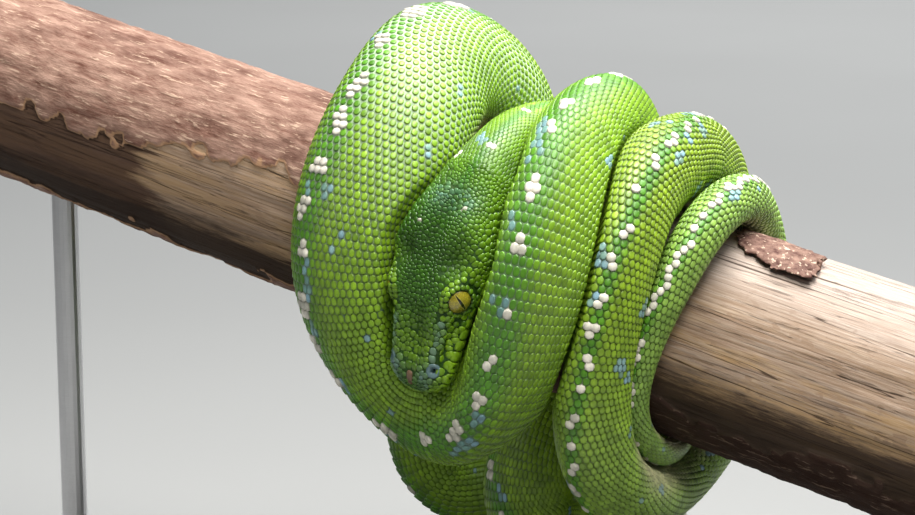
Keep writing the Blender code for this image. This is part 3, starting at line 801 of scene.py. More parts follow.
def add_mesh(name, points, faces, look, colours=None, maps=None):
    """A smooth mesh from arrays: points in metres, faces of equal counts, a colour for each point
    and a place on the map for each corner of a face."""
    mesh = bpy.data.meshes.new(name)
    sides = faces.shape[1]
    mesh.vertices.add(len(points))
    mesh.vertices.foreach_set("co", np.asarray(points, np.float32).ravel())
    mesh.loops.add(faces.size)
    mesh.loops.foreach_set("vertex_index", faces.astype(np.int32).ravel())
    mesh.polygons.add(len(faces))
    mesh.polygons.foreach_set("loop_start", np.arange(0, faces.size, sides, dtype=np.int32))
    mesh.update(calc_edges=True)
    mesh.shade_smooth()
    if maps is not None:
        layer = mesh.uv_layers.new(name="OFBake")
        layer.uv.foreach_set("vector", np.asarray(maps, np.float32).ravel())
    if colours is not None:
        layer = mesh.color_attributes.new("marking", "FLOAT_COLOR", "POINT")
        alpha = np.ones((len(colours), 1))
        layer.data.foreach_set("color", np.hstack([colours, alpha]).astype(np.float32).ravel())
    return add_object(name, mesh, look)


class Plates:
    """Scales gathered before they are joined into one mesh. Each is a fan of rings on the skin."""

    PATCH = 0.0015

    def __init__(self):
        self.points = []
        self.faces = []
        self.colours = []
        self.maps = []
        self.count = 0

    def add(self, rings, colours, roots, outline):
        """Adds plates. rings: plates x rings x sides x 3, from the rim inwards, then one point.
        roots: each plate's place on the map. outline: plates x sides x 2, about 1 in size."""
        plates, depth, sides = rings.shape[:3]
        middle = rings[:, -1].mean(axis=1)
        points = np.concatenate([rings.reshape(plates, -1, 3), middle[:, None]], axis=1)
        each = depth * sides + 1
        k = np.arange(sides)
        after = (k + 1) % sides
        faces = []
        for ring in range(depth - 1):
            a = ring * sides
            faces.append(np.stack([a + k, a + after, a + sides + after], axis=1))
            faces.append(np.stack([a + k, a + sides + after, a + sides + k], axis=1))
        last = (depth - 1) * sides
        faces.append(np.stack([last + k, last + after, np.full(sides, each - 1)], axis=1))
        faces = np.concatenate(faces)
        starts = self.count + each * np.arange(plates)
        self.faces.append((starts[:, None, None] + faces).reshape(-1, 3))
        self.points.append(points.reshape(-1, 3))
        self.colours.append(colours.reshape(-1, 3))
        shares = np.linspace(1.0, 0.0, depth + 1)
        local = np.concatenate([outline * share for share in shares[:-1]], axis=1)
        local = np.concatenate([local, np.zeros((plates, 1, 2))], axis=1)
        maps = roots[:, None] + local * self.PATCH
        self.maps.append(maps[:, faces].reshape(-1, 2))
        self.count += plates * each

    def build(self, name, look):
        points = lift_to_world(np.concatenate(self.points))
        faces = np.concatenate(self.faces)
        made = add_mesh(
            name, points, faces, look, np.concatenate(self.colours), np.concatenate(self.maps)
        )
        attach(made, "root")
        return made


def add_plate(plates, surface, outline, rings, colour, root, patch, seat, tilt=0.0):
    """One large plate, in rings of size, lift and painted shade from its rim inwards. patch is its
    outline on the map, and seat turns points of its outline into places on the skin."""
    centre = outline.mean(axis=0)
    placed = []
    for size, lift, _ in rings:
        flat = centre + (outline - centre) * size
        at, share = seat(flat)
        raised = lift + tilt * (flat[:, 1:] - 0.5)
        normal = surface.read(surface.normal, at, share)
        placed.append(surface.read(surface.place, at, share) + raised * normal)
    tints = [np.tile(colour * shade, (1, len(outline), 1)) for _, _, shade in rings]
    tints.append(np.tile(colour * rings[-1][2], (1, 1, 1)))
    plates.add(np.stack(placed)[None], np.concatenate(tints, axis=1), root, patch[None])


SCALE_SIDES = 10
TRUNK_SIDES = 8
# A body scale's outline: full at its sides and pointed at both ends.
LEAF = (0.68, 1.0)
BODY_TILT = 0.12
HEAD_TILT = 0.22
MOST_STRETCH = 1.3
SCALE_VARIETY = (0.97, 0.06)
FULL_WIDTH = 1.8
# Width, length and height of a pale scale against those of a green one.
PALE_SIZE = (1.40, 1.06, 2.4)
MAP_EDGE = 0.02
MAP_SPAN = 0.96
SINK = 0.35
DOME = ((1.0, -1.0), (0.95, 0.52), (0.66, 0.93))
# Painted shade on a scale's rings, darkest at the sunk rim, and a little painted light on its top.
SCALE_RIM_SHADE_AND_TOP_LIGHT = (0.50, 0.88, 1.0, 1.06)


def rounded(sides, across, along):
    """A closed outline about 1 in size, across and along: fuller where a power is low."""
    turns = turns_round(sides)
    sine, cosine = np.sin(turns), np.cos(turns)
    x = np.sign(sine) * np.abs(sine) ** across
    return np.stack([x, np.sign(cosine) * np.abs(cosine) ** along], axis=1)


def oval(sides, power):
    """An outline from round, where the power is 2, to nearly square, where it is high."""
    return rounded(sides, 2.0 / power, 2.0 / power)


def on_map(places):
    """Places from 0 to 1, kept off the edges of the map."""
    return MAP_EDGE + MAP_SPAN * places


def seat_scales(plates, surface, back, share, outline, height, tilt, colour, roots):
    """Domed scales on the skin. outline: scales x sides x 2 in millimetres, across and along.
    tilt raises the rear of each."""
    across = surface.read(surface.across, back, share)[:, None]
    normal = surface.read(surface.normal, back, share)[:, None]
    along = surface.read(surface.along, back, share)[:, None]
    seat = surface.read(surface.place, back, share)[:, None]
    tall = height[:, None, None]
    rings = []
    for size, lift in DOME:
        x = outline[..., :1] * size
        y = outline[..., 1:] * size
        raised = -SINK if lift < 0.0 else tall * lift + tilt * y
        rings.append(seat + x * across + y * along + raised * normal)
    sides = outline.shape[1]
    # Each ring takes painted shade, darkest at the sunk rim, and the top a little painted light.
    tints = [np.repeat(colour[:, None] * shade, sides, axis=1) for shade in SCALE_RIM_SHADE_AND_TOP_LIGHT[:-1]]
    tints.append(colour[:, None] * SCALE_RIM_SHADE_AND_TOP_LIGHT[-1])
    patch = outline / np.maximum(np.abs(outline).max(axis=(1, 2), keepdims=True), 1e-6)
    plates.add(np.stack(rings, axis=1), np.concatenate(tints, axis=1), roots, patch)


# ---- scales of neck, trunk and tail


SHIELD_SIDES = 20
BELLY_OVERLAP = 0.015
BELLY_LONGER = 1.04
BELLY_TILT = 0.12
# Rings of a belly plate, as size, lift and painted shade, darkest at the sunk rim.
BELLY_RINGS = ((1.0, -SINK, 0.5), (0.94, 0.22, 0.9), (0.7, 0.36, 1.0))
FLANK_START = 3.5
FLANK_FADE = 5.0
ROW_STEP = 0.5
OUT_STEP = 0.1
OUT_MOST = 70.0


def scale_sizes(back):
    """Spacing of the scales across and along, and the shares of it that they fill."""
    return read_table(SCALE_SIZES, back)


def scale_rows(first, last):
    """Distances from the snout of the rows of scales between two places, and their numbers."""
    at = np.arange(HEAD_COAT_END, SCALE_SIZES[-1][0], ROW_STEP)
    number = np.concatenate([[0.0], np.cumsum(ROW_STEP / scale_sizes(at)[1][:-1])])
    rows = np.arange(int(number[-1]))
    places = np.interp(rows, number, at)
    keep = (places >= first) & (places < last)
    return places[keep], rows[keep]


def flank_narrowing(back, aside):
    """Width of a scale against those on the spine: narrower down the flank."""
    least = read_table(FLANK_WIDTHS, back)[0]
    down = np.clip((np.abs(aside) - FLANK_START) / FLANK_FADE, 0.0, 1.0)
    return 1.0 - (1.0 - least) * down


def trunk_seats(surface, first, last):
    """Rows of scales side by side, each row set half a scale over from the one before."""
    backs = []
    shares = []
    out = np.arange(0.0, OUT_MOST, OUT_STEP)
    for back, row in zip(*scale_rows(first, last)):
        width = scale_sizes(back)[0] * flank_narrowing(back, out)
        number = np.concatenate([[0.0], np.cumsum(OUT_STEP / width[:-1])])
        half = surface.half_at(back)
        most = int(np.interp(half * BELLY_EDGE, out, number))
        order = np.arange(-most - 1, most + 1) + 0.5 * (row % 2)
        share = np.sign(order) * np.interp(np.abs(order), number, out) / half
        share = share[np.abs(share) < BELLY_EDGE]
        backs.append(np.full(len(share), back))
        shares.append(share)
    return np.concatenate(backs), np.concatenate(shares)


def add_trunk_scales(name, first, last, look, settings):
    """The scales of one length of the body, and the broad plates under it."""
    surface = skin_surface()
    rng = np.random.default_rng(settings.seed + first)
    coat = max(first, HEAD_COAT_END)
    back, share = trunk_seats(surface, coat, last)
    turned = share + surface.twist(back)
    across, along, wide, long = scale_sizes(back)
    stretch = surface.read(surface.stretch, back, turned)
    length = along * np.minimum(stretch, MOST_STRETCH) * long
    chance = rng.random(len(back))
    aside = share * surface.half_at(back)
    across = across * flank_narrowing(back, aside)
    colour, white = markings().colour(back, share, aside, chance)
    grown = SCALE_VARIETY[0] + SCALE_VARIETY[1] * rng.random(len(back))
    wider, longer, taller = (np.where(white, grow, 1.0) for grow in PALE_SIZE)
    size = [across * wide * grown * wider / 2, length * grown * longer / 2]
    outline = rounded(TRUNK_SIDES, *LEAF)[None] * np.stack(size, axis=1)[:, None]
    height = settings.scale_height / MM * np.minimum(across / FULL_WIDTH, 1.1) * taller
    end = min(last, surface.body.arc[-1])
    roots = on_map(np.stack([(back - first) / (end - first), (share + 1.0) / 2], axis=1))
    plates = Plates()
    seat_scales(plates, surface, back, turned, outline, height, BODY_TILT, colour, roots)
    add_belly_plates(plates, surface, coat, last, first, end)
    return plates.build("scales_" + name, look)


def add_belly_plates(plates, surface, first, last, map_first, map_last):
    """Broad plates across the belly, two rows of scales long each, and split behind the vent."""
    rows, numbers = scale_rows(first, last)
    for back, number in zip(rows, numbers):
        if number % 2:
            continue
        long = scale_sizes(back)[1] * 2.0
        if back + long >= surface.at[-1] - 1.0:
            continue
        halves = ((0.0, 0.98), (-0.98, 0.0)) if back > VENT_AT else ((-1.0, 1.0),)
        for low, high in halves:
            middle, half = (low + high) / 2, (high - low) / 2
            outline = oval(SHIELD_SIDES, 5.0) * (half, 0.5) + (middle, 0.5)
            reach = 1.0 - BELLY_EDGE + BELLY_OVERLAP
            add_patch(plates, surface, outline, (back, long, reach), map_first, map_last)


def add_patch(plates, surface, outline, size, map_first, map_last):
    """One plate that follows the belly. outline: across it from -1 to 1, along it from 0 to 1."""
    back, long, reach = size

    def seat(flat):
        across = np.where(flat[:, 0] < 0.0, -1.0, 1.0) * (1.0 - np.abs(flat[:, 0]) * reach)
        at = back + flat[:, 1] * long * BELLY_LONGER
        return at, across + surface.twist(at)

    centre = outline.mean(axis=0)
    root = np.array([[(back - map_first) / (map_last - map_first), 0.004]])
    root[:, 1] += 0.01 * (centre[0] > 0.0)
    cream = markings().greens["belly_cream"] * 1.05
    patch = outline - centre
    add_plate(plates, surface, outline, BELLY_RINGS, cream, root, patch, seat, BELLY_TILT)


# ---- scales of the head


HEAD_CANDIDATES = 36000
HEAD_ROUNDS = 9
NEIGHBOURS = 10
# Spacing of the crown's small scales, at distances from the snout.
GRANULES = ((0, 1.7), (8, 1.9), (18, 1.75), (25, 1.35), (44, 1.28), (56, 1.42), (62, 1.45))
# Where they are larger, as amount, distance from the snout and its spread, share round from the
# back and its spread: the temples and the sides of the snout. Under the jaw they are larger too.
LARGER_GRANULES = ((0.5, 44.0, 12.0, 0.42, 0.22), (0.3, 14.0, 8.0, 0.43, 0.1))
UNDER_LARGER = 0.3
UNDER_SHARE = 0.62
# Painted shade and light on the head, in the same way: painted shade in the valleys behind the
# brows and in the snout's hollow, painted light on the brows. Then the places that take another
# colour, and how fully.
HEAD_PAINTED_SHADE_AND_LIGHT = (
    (-0.42, 37.0, 6.0, 0.12, 0.22),
    (-0.30, 18.0, 4.0, 0.0, 0.16),
    (0.45, 26.0, 6.0, 0.27, 0.10),
)
NOSE_BLUE = (1.0, 5.0, 3.5, 0.28, 0.13)
NAPE_BLUE = (0.3, 51.0, 3.5, 0.10, 0.14)
TEMPLE_BRIGHT = (0.5, 46.0, 16.0, 0.45, 0.25)
SNOUT_BRIGHT = (0.65, 12.0, 8.0)
# Painted light on the small scales beside the lips: share round, its spread, where it ends, fade.
LIPS_PAINTED_LIGHT = (0.47, 0.16, 40.0, 8.0)
CANTHUS_AT = ((6, 0.29), (26, 0.27))
CANTHUS_WIDTH = 0.035
CANTHUS_LENGTH = (15.0, 9.0)


def granule_size(back, share):
    """Spacing of the small scales of the head: fine on the crown, larger on snout and jaw."""
    size = read_table(GRANULES, back)[0]
    side = np.abs(share)
    under = UNDER_LARGER * np.clip((side - UNDER_SHARE) / 0.1, 0.0, 1.0)
    return patches(back, side, LARGER_GRANULES, size) + under


def lip_band(surface, back, share):
    """Height of places over the line of the mouth, in millimetres."""
    return surface.read(surface.flat[:, :, 1], back, share) - mouth_height(back)


def eye_angle(surface, points):
    """Angle of points from the nearer eye's line of sight, or half a turn where none is near."""
    best = np.full(len(points), math.pi)
    for side in EYE_SIDES:
        centre, looks, _ = eye_place(surface.body, side)
        away = points - centre
        far = np.linalg.norm(away, axis=1)
        angle = np.arccos(np.clip(away @ looks / far, -1.0, 1.0))
        best = np.where(far < 1.25 * EYE_RADIUS, np.minimum(best, angle), best)
    return best


def near_eye_rings(surface, places, room):
    """Whether each place lies inside an eye's rings of scales, or closer to them than room."""
    inside = eye_angle(surface, places) < EYE_OPENING + EYE_LID
    for back, share, size in eye_rings(surface):
        for seat in surface.read(surface.place, back, share):
            inside |= np.linalg.norm(places - seat, axis=1) < 0.8 * size + room
    return inside


def tree_of(points):
    """The points, sorted so that the nearest to a place is found at once."""
    tree = kdtree.KDTree(len(points))
    for k, point in enumerate(points):
        tree.insert(point, k)
    tree.balance()
    return tree


def head_seats(surface, rng):
    """Places of the head's small scales, spread evenly at their own spacing."""
    rows = np.nonzero(surface.at < HEAD_COAT_END + 1.0)[0]
    last = rows[-1]
    down = np.diff(surface.place[: last + 2], axis=0)[:, :-1]
    over = np.diff(surface.place[: last + 1], axis=1)
    area = np.linalg.norm(np.cross(down, over), axis=2)
    back = np.repeat(surface.at[: last + 1, None], area.shape[1], axis=1)
    share = np.repeat(surface.shares[None, :-1], area.shape[0], axis=0)
    weight = area / (0.866 * granule_size(back, share) ** 2)
    picks = rng.choice(area.size, HEAD_CANDIDATES, p=(weight / weight.sum()).ravel())
    i, j = np.unravel_index(picks, area.shape)
    step = surface.at[i + 1] - surface.at[i]
    back = surface.at[i] + rng.random(len(i)) * step
    share = surface.shares[j] + rng.random(len(j)) / SHARES
    places = surface.read(surface.place, back, share)
    seats = rng.choice(HEAD_CANDIDATES, int(weight.sum()), replace=False)
    for _ in range(HEAD_ROUNDS):
        tree = tree_of(places[seats])
        owner = np.array([tree.find(point)[1] for point in places])
        count = np.maximum(np.bincount(owner, minlength=len(seats)), 1)
        total = [np.bincount(owner, column, len(seats)) for column in places.T]
        middle = np.stack(total, axis=1) / count[:, None]
        off = np.linalg.norm(places - middle[owner], axis=1)
        order = np.lexsort((off, owner))
        first = np.searchsorted(owner[order], np.arange(len(seats)))
        first = np.minimum(first, len(order) - 1)
        nearest = order[first]
        seats = np.where(owner[nearest] == np.arange(len(seats)), nearest, seats)
    return back[seats], share[seats], places[seats]


def cells(surface, back, share, places, size):
    """Outlines of scales that share the skin: each reaches halfway to its neighbours."""
    tree = tree_of(places)
    found = [tree.find_n(point, NEIGHBOURS + 1)[1:] for point in places]
    near = np.array([[index for _, index, _ in row] for row in found])
    delta = places[near] - places[:, None]
    across = surface.read(surface.across, back, share)
    along = surface.read(surface.along, back, share)
    x = np.sum(delta * across[:, None], axis=2)
    y = np.sum(delta * along[:, None], axis=2)
    turns = turns_round(SCALE_SIDES)
    facing = x[..., None] * np.sin(turns) + y[..., None] * np.cos(turns)
    reach = (x**2 + y**2)[..., None] / 2 / np.maximum(facing, 1e-3)
    reach = np.where(facing > 1e-3, reach, 9.0).min(axis=1)
    reach = np.minimum(reach, 0.72 * size[:, None])
    reach = 0.85 * reach + 0.15 * reach.mean(axis=1, keepdims=True)
    return np.stack([reach * np.sin(turns), reach * np.cos(turns)], axis=2)


def head_colour(surface, back, share, chance):
    """Colours of the head's scales: green, with blue-grey along the canthus and on the nose, and
    painted shade and light in its valleys, on its brows and beside its lips.
    """
    paint = markings()
    bright = paint.greens["flank_green"]
    side = np.abs(share)
    colour, _ = paint.colour(back, share, share * surface.half_at(back), chance)
    canthus_at = read_table(CANTHUS_AT, back)[0]
    canthus = bump(side, canthus_at, CANTHUS_WIDTH) * bump(back, *CANTHUS_LENGTH)
    nose = patches(back, side, (NOSE_BLUE,))
    mask = np.clip(1.3 * np.maximum(canthus, nose) * (0.35 + chance), 0.0, 0.85)
    colour = blend(colour, colour_of(bpy.context.scene.python_skin, "canthus_blue"), mask[:, None])
    colour = blend(colour, bright, patches(back, share, (TEMPLE_BRIGHT,))[:, None])
    most, at, length = SNOUT_BRIGHT
    snout = most * bump(back, at, length) * (1.0 - mask) * (0.6 + 0.6 * chance)
    colour = blend(colour, bright, snout[:, None])
    # Painted shade in the valleys behind the brows and the snout's hollow, painted light on the
    # brows.
    colour = colour * patches(back, side, HEAD_PAINTED_SHADE_AND_LIGHT, 1.0)[:, None]
    nape = patches(back, side, (NAPE_BLUE,)) * chance
    colour = blend(colour, paint.blue, nape[:, None])
    # Painted light on the small scales beside the lips.
    at, spread, end, fade = LIPS_PAINTED_LIGHT
    lips = bump(side, at, spread) * np.clip((end - back) / fade, 0.0, 1.0)
    return blend(colour, 1.15 * bright, lips[:, None])


def head_root(back, share):
    """Places of the head's scales on the map."""
    return on_map(np.stack([back / (HEAD_COAT_END + 2.0), (share + 1.0) / 2], axis=1))


def add_head_scales(look, settings):
    """The small scales of the crown, temples, snout, chin and throat."""
    surface = skin_surface()
    rng = np.random.default_rng(settings.seed)
    back, share, places = head_seats(surface, rng)
    over = lip_band(surface, back, share)
    lips = (np.abs(over) < LIP_HEIGHT - 0.2) & (back < LIP_END) & (np.abs(share) > 0.3)
    eyes = near_eye_rings(surface, places, 0.42 * granule_size(back, share))
    nose = np.hypot((back - NOSTRIL_AT) / 2.3, (np.abs(share) - NOSTRIL_SHARE) / 0.085) < 1.0
    tip = np.hypot((back - TIP_PLATE[0]) / 2.4, share / 0.065) < 1.0
    keep = ~lips & ~eyes & ~nose & ~tip & (back > 0.3)
    back, share, places = back[keep], share[keep], places[keep]
    size = granule_size(back, share)
    outline = cells(surface, back, share, places, size)
    chance = rng.random(len(back))
    colour = head_colour(surface, back, share, chance)
    height = 0.21 * np.minimum(size, 1.6)
    plates = Plates()
    roots = head_root(back, share)
    seat_scales(plates, surface, back, share, outline, height, HEAD_TILT, colour, roots)
    return plates.build("scales_head", look)


LIP_HEIGHT = 3.3
LIP_END = 39.0
# Sizes of a shield's rings from the rim inwards, their painted shade, and the painted shade in a
# pit.
SHIELD_RINGS = (1.0, 0.95, 0.72, 0.28, 0.16)
SHIELD_RIM_SHADES = (0.62, 0.92, 1.0, 1.0)
PIT_SHADE = 0.12
LIP_START = 1.2
LIP_SHIELDS = 12
# Shields with a pit: the front ones of the upper lip, and the rear ones of the lower.
UPPER_PITS = range(3)
LOWER_PITS = range(6, 10)
# Plates of the nostrils and of the snout's tip: distance from the snout, half length, half share.
NOSE_PLATE = (NOSTRIL_AT, 2.1, 0.075)
TIP_PLATE = (3.4, 2.1, 0.047)
EYE_LID = math.radians(10.0)
EYE_RING_HEIGHT = 0.42
# Rings of scales round the eye: angle past its opening, count, radius of a scale, turn.
EYE_RINGS = ((8.0, 17, 0.80, 0.0), (24.0, 19, 0.92, 0.5))


def share_at_height(surface, back, side, height):
    """Share of the way round at which the head's skin has this height over its line."""
    row = np.argmin(np.abs(surface.at - back))
    columns = surface.shares > 0.0 if side > 0.0 else surface.shares < 0.0
    heights = surface.flat[row, columns, 1]
    shares = surface.shares[columns]
    order = np.argsort(heights)
    return np.interp(height, heights[order], shares[order])


def add_shield(plates, surface, outline, height, colour, pit=0.0):
    """A large plate on the head. outline: points as distance from the snout and share round it.
    A pit sinks its middle, darkened with painted shade."""
    lifts = (-SINK, 0.5 * height, 0.95 * height, height - 0.6 * pit, height - pit)
    # The rings' tints are painted shade, darkest at the rim and in a pit.
    rings = list(zip(SHIELD_RINGS, lifts, (*SHIELD_RIM_SHADES, PIT_SHADE if pit > 0.0 else 1.0)))
    centre = outline.mean(axis=0)
    patch = (outline - centre) / np.abs(outline - centre).max(axis=0)
    root = head_root(*centre[:, None])
    add_plate(plates, surface, outline, rings, colour, root, patch, lambda flat: flat.T)


def lip_shield(surface, side, upper, number):
    """Outline of one of the large plates along a lip, as distances from the snout and shares."""
    edges = np.linspace(LIP_START, LIP_END, LIP_SHIELDS + 1)
    first, last = edges[number], edges[number + 1]
    ring = oval(SHIELD_SIDES, 4.0)
    backs = (first + last) / 2 + ring[:, 1] * (last - first) * 0.485
    reach = LIP_HEIGHT * (1.0 - 0.25 * number / LIP_SHIELDS)
    over = reach / 2 + 0.12 + ring[:, 0] * (reach / 2 - 0.02)
    heights = mouth_height(backs) + (over if upper else -over)
    shares = [share_at_height(surface, at, side, height) for at, height in zip(backs, heights)]
    outline = np.stack([backs, shares], axis=1)
    return outline[::-1] if upper == (side > 0.0) else outline


def add_lips(plates, surface, rng):
    """The large plates along both lips, with pits in the front upper and the rear lower ones."""
    # The lip shields are a lighter green, in part painted light on the lips.
    bright = 1.25 * markings().greens["flank_green"]
    for side in EYE_SIDES:
        for upper, pits in ((True, UPPER_PITS), (False, LOWER_PITS)):
            for number in range(LIP_SHIELDS):
                outline = lip_shield(surface, side, upper, number)
                tone = bright * (0.7 + 0.25 * rng.random())
                add_shield(plates, surface, outline, 0.5, tone, 0.7 if number in pits else 0.0)


def add_nose(plates, surface):
    """The nostrils' plates, with their holes, and the plate at the tip of the snout."""
    settings = bpy.context.scene.python_skin
    at, long, wide = NOSE_PLATE
    ring = oval(SHIELD_SIDES, 2.6)
    for side in EYE_SIDES:
        shares = side * (NOSTRIL_SHARE + ring[:, 0] * wide)
        outline = np.stack([at + ring[:, 1] * long, shares], axis=1)
        outline = outline if side < 0.0 else outline[::-1]
        add_shield(plates, surface, outline, 0.6, colour_of(settings, "canthus_blue"), 0.5)
    at, long, wide = TIP_PLATE
    ring = oval(SHIELD_SIDES, 3.0)
    outline = np.stack([at + ring[:, 1] * long, ring[:, 0] * wide], axis=1)
    add_shield(plates, surface, outline[::-1], 0.5, colour_of(settings, "rostral_pink"))


def ring_seats(surface, side, spread, count, turned):
    """Places on the skin in a ring round an eye, this angle from the way it looks."""
    centre, looks, slit = eye_place(surface.body, side)
    over = np.cross(looks, slit)
    rows = np.nonzero(np.abs(surface.at - EYE_BACK) < 3.0 * EYE_RADIUS)[0]
    away = surface.place[rows] - centre
    far = np.linalg.norm(away, axis=2)
    away = np.where(far[..., None] < 2.0 * EYE_RADIUS, away / far[..., None], -looks)
    backs = []
    shares = []
    for k in range(count):
        turn = 2.0 * math.pi * (k + turned) / count
        round_it = math.cos(turn) * slit + math.sin(turn) * over
        out = math.cos(spread) * looks + math.sin(spread) * round_it
        i, j = np.unravel_index((away @ out).argmax(), far.shape)
        backs.append(surface.at[rows[i]])
        shares.append(surface.shares[j])
    return np.array(backs), np.array(shares)


def eye_rings(surface):
    """Each ring of scales round an eye: the places of its scales, and the radius of one."""
    for side in EYE_SIDES:
        for angle, count, size, turned in EYE_RINGS:
            spread = EYE_OPENING + math.radians(angle)
            yield (*ring_seats(surface, side, spread, count, turned), size)


def add_eye_rings(plates, surface, rng):
    """Small scales that ring each eye, brightest over the brow: painted light above, painted shade
    below.
    """
    greens = markings().greens
    for back, share, size in eye_rings(surface):
        count = len(back)
        outline = np.repeat(size * rounded(SCALE_SIDES, 1.0, 1.0)[None], count, axis=0)
        # Painted light on the ring's upper scales over the brow, painted shade on its lower ones.
        brow = np.clip(1.3 - 2.2 * np.abs(share), 0.1, 0.8)[:, None]
        tone = blend(greens["head_green"], greens["flank_green"], brow)
        tone = tone * (0.8 + 0.35 * rng.random(count))[:, None]
        height = np.full(count, EYE_RING_HEIGHT)
        roots = head_root(back, share)
        seat_scales(plates, surface, back, share, outline, height, 0.0, tone, roots)


def add_head_plates(look, settings):
    """Lips, nose and the rings round the eyes."""
    surface = skin_surface()
    rng = np.random.default_rng(settings.seed)
    plates = Plates()
    add_lips(plates, surface, rng)
    add_nose(plates, surface)
    add_eye_rings(plates, surface, rng)
    return plates.build("scales_face", look)


# ---- the skin


SKIN_STEP = 2
MAP_STRIPS = 8
SNOUT_WELD = 0.02


def skin_rows(surface):
    """Rows of the table that the skin's mesh uses: all on the head, every second one behind it."""
    head = np.nonzero(surface.at < FINE_END)[0]
    rest = np.arange(head[-1] + 1, len(surface.at), SKIN_STEP)
    return np.unique(np.concatenate([head, rest, [len(surface.at) - 1]]))


def add_skin(look):
    """One closed skin from the snout to the tip of the tail, in place of all the flesh."""
    surface = skin_surface()
    rows = skin_rows(surface)
    place = surface.place[rows][:, :-1:2]
    sides = place.shape[1]
    count = len(rows)
    points = place.reshape(-1, 3)
    back = np.repeat(surface.at[rows], sides)
    share = np.tile(surface.shares[:-1:2], count) - surface.twist(back)
    share = (share + 1.0) % 2.0 - 1.0
    aside = share * surface.half_at(back)
    colour, _ = markings().colour(back, share, aside, np.full(len(back), 0.5))
    stretch = surface.stretch[rows][:, :-1:2].reshape(-1)
    sparse = np.clip((0.92 - scale_sizes(back)[2]) / 0.10, 0.0, 1.0) * 0.8
    pale = np.clip(np.clip((stretch - 1.1) * 0.8, 0.0, 0.16) + sparse, 0.0, 0.9)
    pale = (pale * (back > 90.0))[:, None]
    # Painted shade on the skin between the scales, less of it towards the belly.
    shade = 0.42 + 0.3 * np.clip((np.abs(share) - 0.6) / 0.2, 0.0, 1.0)[:, None]
    colour = blend(colour * shade, markings().greens["stretched_pale"], pale)
    faces = tube_faces(count, sides)
    strip_length = surface.at[-1] / MAP_STRIPS
    strip = np.minimum((surface.at[rows][:-1] / strip_length).astype(int), MAP_STRIPS - 1)
    strip = np.repeat(strip, sides)[:, None]
    column = np.tile(np.arange(sides), count - 1)
    corner_share = np.stack([column, column, column + 1, column + 1], axis=1) / sides
    down = (back[faces] / strip_length - strip) * 0.98
    over = (strip + MAP_EDGE + MAP_SPAN * corner_share) / MAP_STRIPS
    maps = np.stack([down, over], axis=2).reshape(-1, 2)
    made = add_mesh("skin", lift_to_world(points), faces, look, colour, maps)
    mend(made.data, SNOUT_WELD, sides)
    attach(made, "root")
    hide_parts(*FLESH)
    return made


# ---- eyes


EYE_ROWS = 40
EYE_COLUMNS = 56
EYEBALL_GAP = 0.12
CORNEA_RISE = 0.18
CORNEA_SPREAD = 0.75


def add_eye(name, side, look):
    """An eyeball, a little domed in front. It looks along its own Z, with its slit along Y."""
    centre, looks, slit = eye_place(skin_surface().body, side)
    polar = np.linspace(0.0, math.pi, EYE_ROWS)
    around = turns_round(EYE_COLUMNS)
    radius = (EYE_RADIUS - EYEBALL_GAP) + CORNEA_RISE * bump(polar, 0.0, CORNEA_SPREAD)
    shape = bmesh.new()
    rings = []
    for angle, size in zip(polar[1:-1], radius[1:-1]):
        ring = []
        for turn in around:
            x = size * math.sin(angle) * math.cos(turn)
            y = size * math.sin(angle) * math.sin(turn)
            ring.append(shape.verts.new(Vector((x, y, size * math.cos(angle))) * MM))
        rings.append(ring)
    front = shape.verts.new((0.0, 0.0, radius[0] * MM))
    rear = shape.verts.new((0.0, 0.0, -radius[-1] * MM))
    for k in range(EYE_COLUMNS):
        after = (k + 1) % EYE_COLUMNS
        shape.faces.new((front, rings[0][k], rings[0][after]))
        shape.faces.new((rear, rings[-1][after], rings[-1][k]))
        for first, second in zip(rings, rings[1:]):
            shape.faces.new((first[k], second[k], second[after], first[after]))
    mesh = bpy.data.meshes.new(name + "_ball")
    shape.to_mesh(mesh)
    shape.free()
    mesh.shade_smooth()
    made = add_object(name + "_ball", mesh, look)
    made.matrix_world = standing(np.cross(slit, looks), slit, looks, lift_to_world(centre))
    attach(made, "root")
    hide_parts(name)
    return made


# ---- perch


WOOD_ROWS = 300
WOOD_SIDES = 220
END_RINGS = 14
END_BULGE = 0.25
WOOD_INSET = 0.35
END_WELD = 0.005
SHARP_EDGE = math.radians(60.0)
NOISE_CELLS = 64
# Layers of unevenness on the branch, as height, length, lobes round it, and seed.
BARK_EDGE = ((0.34, 18.0, 9, 3), (0.26, 5.0, 31, 4), (0.14, 2.0, 70, 9))
BARK_ROUGHNESS = ((0.30, 3.0, 60, 5), (0.16, 1.3, 130, 15))
WOOD_GRAIN = ((1.0, 40.0, 90, 6), (0.6, 18.0, 150, 7))
WOOD_CRACKS = ((1.0, 45.0, 44, 8),)


def mottle(along, around, length, lobes, seed):
    """Smooth noise over the branch, from -1 to 1, that closes on itself round it."""
    rng = np.random.default_rng(seed)
    grid = rng.uniform(-1.0, 1.0, (NOISE_CELLS, lobes))
    x = along / length + NOISE_CELLS / 2
    y = around / (2.0 * math.pi) * lobes
    i, j = np.floor(x).astype(int), np.floor(y).astype(int)
    down, over = eased(x - i), eased(y - j)
    i, k = i % NOISE_CELLS, (i + 1) % NOISE_CELLS
    near = blend(grid[i, j % lobes], grid[i, (j + 1) % lobes], over)
    far = blend(grid[k, j % lobes], grid[k, (j + 1) % lobes], over)
    return blend(near, far, down)


def layered(along, around, layers, start=0.0):
    """The layers' noise over the branch, added up."""
    return sum((rise * mottle(along, around, *noise) for rise, *noise in layers), start)


def branch_radius(along, around):
    """The branch's radius: a slow swell and a slightly uneven round."""
    radius = BRANCH_RADIUS + BRANCH_SWELL * along - BRANCH_INSET
    for depth, lobes, length in BRANCH_LOBES:
        radius = radius + depth * np.sin(lobes * around + along / length)
    return radius


